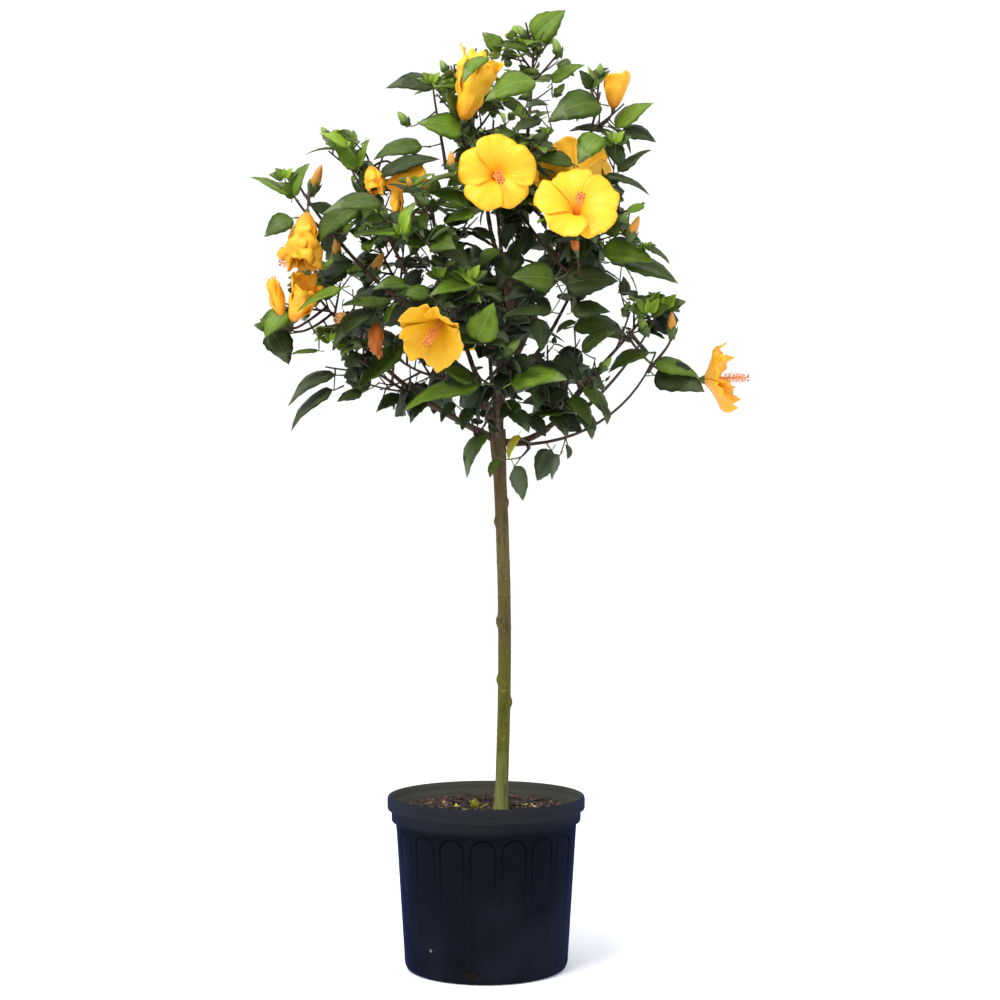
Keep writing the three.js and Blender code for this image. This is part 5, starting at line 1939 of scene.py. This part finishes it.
def cup_shape(lobes, notch, flare):
    """A calyx: a cone, open side up, whose rim rises and falls into pointed lobes."""
    bm = ringed_cone(lobes * 4, 3, 0.3, True)
    for v in bm.verts:
        height = v.co.z + 0.5
        if math.hypot(v.co.x, v.co.y) < 0.01:
            v.co.z = 0.08 if height > 0.5 else -0.06
            continue
        turn = math.atan2(v.co.y, v.co.x)
        lobe = abs(((turn / math.tau * lobes) % 1) - 0.5) * 2
        round_out = math.sin(min(1, height * 1.3) * math.pi / 2)
        flat = unit(np.array((v.co.x, v.co.y, 0)))[:2]
        spread = 0.32 + 0.6 * round_out + flare * height * height
        v.co.x, v.co.y = flat * spread
        v.co.z = height * (1 - notch * (1 - lobe if height > 0.9 else 0.6) * height)
    return shape_of(bm)


def moved_sphere(across, along, moved):
    """A small sphere whose points are moved, by their place and how far up they are."""
    bm = bmesh.new()
    bmesh.ops.create_uvsphere(bm, u_segments=across, v_segments=along, radius=1)
    for v in bm.verts:
        v.co = moved(v.co.x, v.co.y, (v.co.z + 1) / 2)
    return shape_of(bm)


def bract_point(x, y, t):
    """Narrow, pointed at both ends, and bent outwards."""
    return x * 0.09, y * 0.035 + 0.22 * t * t, t


calyx = cup_shape(5, 0.42, 0.1)
bract = moved_sphere(4, 5, bract_point)

# %% Flowers
petal_heaps = {kind: Heap() for kind in PETAL_FINISHES}
column_heap, bead_heap, cup_heap = Heap(), Heap(), Heap()
STAMENS = 60
STIGMAS = 5
BRACTS = 7
STAMENS_START, STAMENS_END = 0.42, 0.96
CALYX_LENGTH = 17
COLUMN_SHOWS = {FLAT: 0.26, BOWL: 0.26, BELL: 0.18, TRUMPET: 0.02}


def add_cup(foot, way, radius, length):
    cup_heap.add(calyx, set_towards(calyx["points"] * (radius, radius, length), way, foot))
    for i in range(BRACTS):
        points = bract["points"] * (length * 0.9) + (0, radius * 0.5, 0)
        points = round_z(points, math.tau * i / BRACTS)
        cup_heap.add(bract, set_towards(points, way, foot - way * 1.5))


def add_thread(line, t, aim, length, radius):
    """A thread off the column, and the place of its end."""
    base = line.at(t)
    end = base + aim * length
    column_heap.add(thread_tube, carried(thread_tube, Line(base, end), lambda t: radius))
    return end


def add_column(flower, roll):
    """The column with its threads and beads, out of an open flower's throat."""
    foot = flower["foot"] + flower["way"] * 3
    reach = (flower["funnel"][0] + COLUMN_SHOWS[flower["funnel"]]) * flower["width"]
    droop = (roll(-0.05, 0.08), 0, -0.22 if flower["funnel"] == FLAT else roll(-0.08, 0.1))
    tip = foot + unit(flower["way"] + droop) * reach
    line = Line(foot, foot + flower["way"] * reach * 0.6, tip)
    column_heap.add(column_tube, carried(column_tube, line, tapering(1.9, 1.1, 0.8)))
    for i in range(STAMENS):
        t = STAMENS_START + (STAMENS_END - STAMENS_START) * i / STAMENS
        aim = leaning(line.along(t), i * GOLDEN_TURN, 62 + roll(-12, 12))
        end = add_thread(line, t, aim, roll(4.5, 7), 0.28)
        bead_heap.add(bead, bead["points"] * roll(0.9, 1.2) + end)
    for i in range(STIGMAS):
        aim = leaning(line.along(1), i * 360 / STIGMAS + 20, 38)
        bead_heap.add(bead, bead["points"] * 1.3 + add_thread(line, 1, aim, 6, 0.4), 1)


for i, flower in enumerate(flowers):
    roll = Dice(i + 301)
    first = roll(0, 1)
    place = flower["mouth"] if flower["open"] else flower["foot"]
    for number in range(PETALS):
        one_petal = open_petal if flower["open"] else closed_petal
        points = set_towards(one_petal(flower, number + first, roll), flower["way"], place)
        petal_heaps[flower["petals"]].add(petal, points, flat_map=petal_map)
    way, calyx_radius = flower["way"], 0.05 * flower["width"] + 2.5
    add_cup(flower["foot"] - way * 4, way, calyx_radius, CALYX_LENGTH)
    if flower["open"]:
        add_column(flower, roll)

# %% [markdown]
# ## Buds
#
# A bud is a pointed egg in its calyx and a ring of narrow bracts. The older ones show a
# rolled tip of yellow-orange petals.

# %% Buds on the twigs' tips
BUD_OUTNESS = 0.72
BUD_CHANCE, OPENING_CHANCE = 0.12, 0.3
BUD_LENGTHS = (14, 20)


def bud_point(x, y, t):
    """Twisted, and narrower towards the tip."""
    width = 0.9 * (1 - 0.45 * t ** 3)
    x, y = x * width, y * width
    c, s = math.cos(1.4 * t), math.sin(1.4 * t)
    return x * c - y * s, x * s + y * c, t


bud = moved_sphere(10, 8, bud_point)
bud_heap = Heap()
bud_roll = Dice(401)
for twig in all_twigs:
    outness = np.linalg.norm((twig.at(1) - HEART) / CROWN_REACH)
    is_seen_tip = twig.is_used and twig.kind in ("shoot", "sprig") and outness > BUD_OUTNESS
    if is_seen_tip and bud_roll(0, 1) < BUD_CHANCE:
        way = unit(twig.along(1) + UP * 0.6)
        foot = twig.at(1) + way * 8
        twig_end = Line(twig.at(1), twig.at(1) + twig.along(1) * 4, foot)
        cup_heap.add(sprig_tube, carried(sprig_tube, twig_end, lambda t: 0.8))
        shows = bud_roll(0, 1) < OPENING_CHANCE
        buds.append({"foot": foot, "way": way, "length": bud_roll(*BUD_LENGTHS), "shows": shows})
for one in buds:
    foot, way, length, shows = one.values()
    width = 2 + length * (0.14 if shows else 0.19)
    points = bud["points"] * (width, width, length)
    bud_heap.add(bud, set_towards(points, way, foot), int(shows))
    add_cup(foot - way * 0.6, way, width * 1.15, length * 0.5)
print("buds:", len(buds))

# %% Blossom pieces
PETAL_THICKNESS = 0.0005
BLOSSOM_PIECES = (
    # name, heap, and each finish with its name, colour, drift and roughness
    ("stamen_columns", column_heap, [("stamen_column", "e8a56a", "dc8850", 0.5)]),
    ("pollen_and_stigmas", bead_heap, [
        ("pollen_beads", "eca24e", "dc7c3a", 0.8), ("stigma_pads", "c9532c", "9c3418", 0.6),
    ]),
    ("calyces_and_bracts", cup_heap, [("calyx_green", "4d6626", "37491f", 0.6)]),
    ("flower_buds", bud_heap, [
        ("bud_green", "7b9638", "5c7a2a", 0.55), ("bud_gold", "c9962f", "b8762a", 0.5),
    ]),
)
for kind, heap in petal_heaps.items():
    petals = heap.piece(kind + "_petals", "foliage", [PETAL_FINISHES[kind]], foliage_nodes)
    wall = petals.modifiers.new("petal thickness", "SOLIDIFY")
    wall.thickness = PETAL_THICKNESS
    wall.offset = 0
for name, heap, finishes in BLOSSOM_PIECES:
    heap.piece(name, "foliage", [drifting(*row) for row in finishes], foliage_nodes)

# %% [markdown]
# ## Fallen bits on the mix
#
# A few yellow-green leaf bits lie on the mix or stand in it near the trunk, as they do on
# any pot that has stood a while. They are small leaves of the same shape.

# %% Fallen leaves
fallen_heap = Heap()
LEAF_BITS = (
    # x, y, turn, rise, size; those that rise are stuck in the mix beside the trunk
    (-13, 4, -70, 52, 21), (-15, 6, 10, 68, 18), (-11, 8, 70, 30, 17), (-16, 0, -80, 14, 18),
    (-9, -2, 50, 40, 12), (-18, -46, 20, 4, 17), (34, -30, -60, 4, 12), (-40, 22, 160, 4, 15),
    (50, 40, 10, 4, 14), (48, -14, 80, 20, 16),
)
for x, y, turn, rise, size in LEAF_BITS:
    aim = heading(turn, rise)
    side = unit(np.cross(aim, UP))
    foot = np.array((x, y, soil_height(x, y) + 2.2))
    fallen = {"foot": foot, "aim": aim, "side": side, "size": size}
    fallen_heap.add(leaf_shapes[1], placed_leaf(fallen, leaf_shapes[1]))
fallen_heap.piece("fallen_leaf_bits", "soil", leaf_finishes("yellow"))
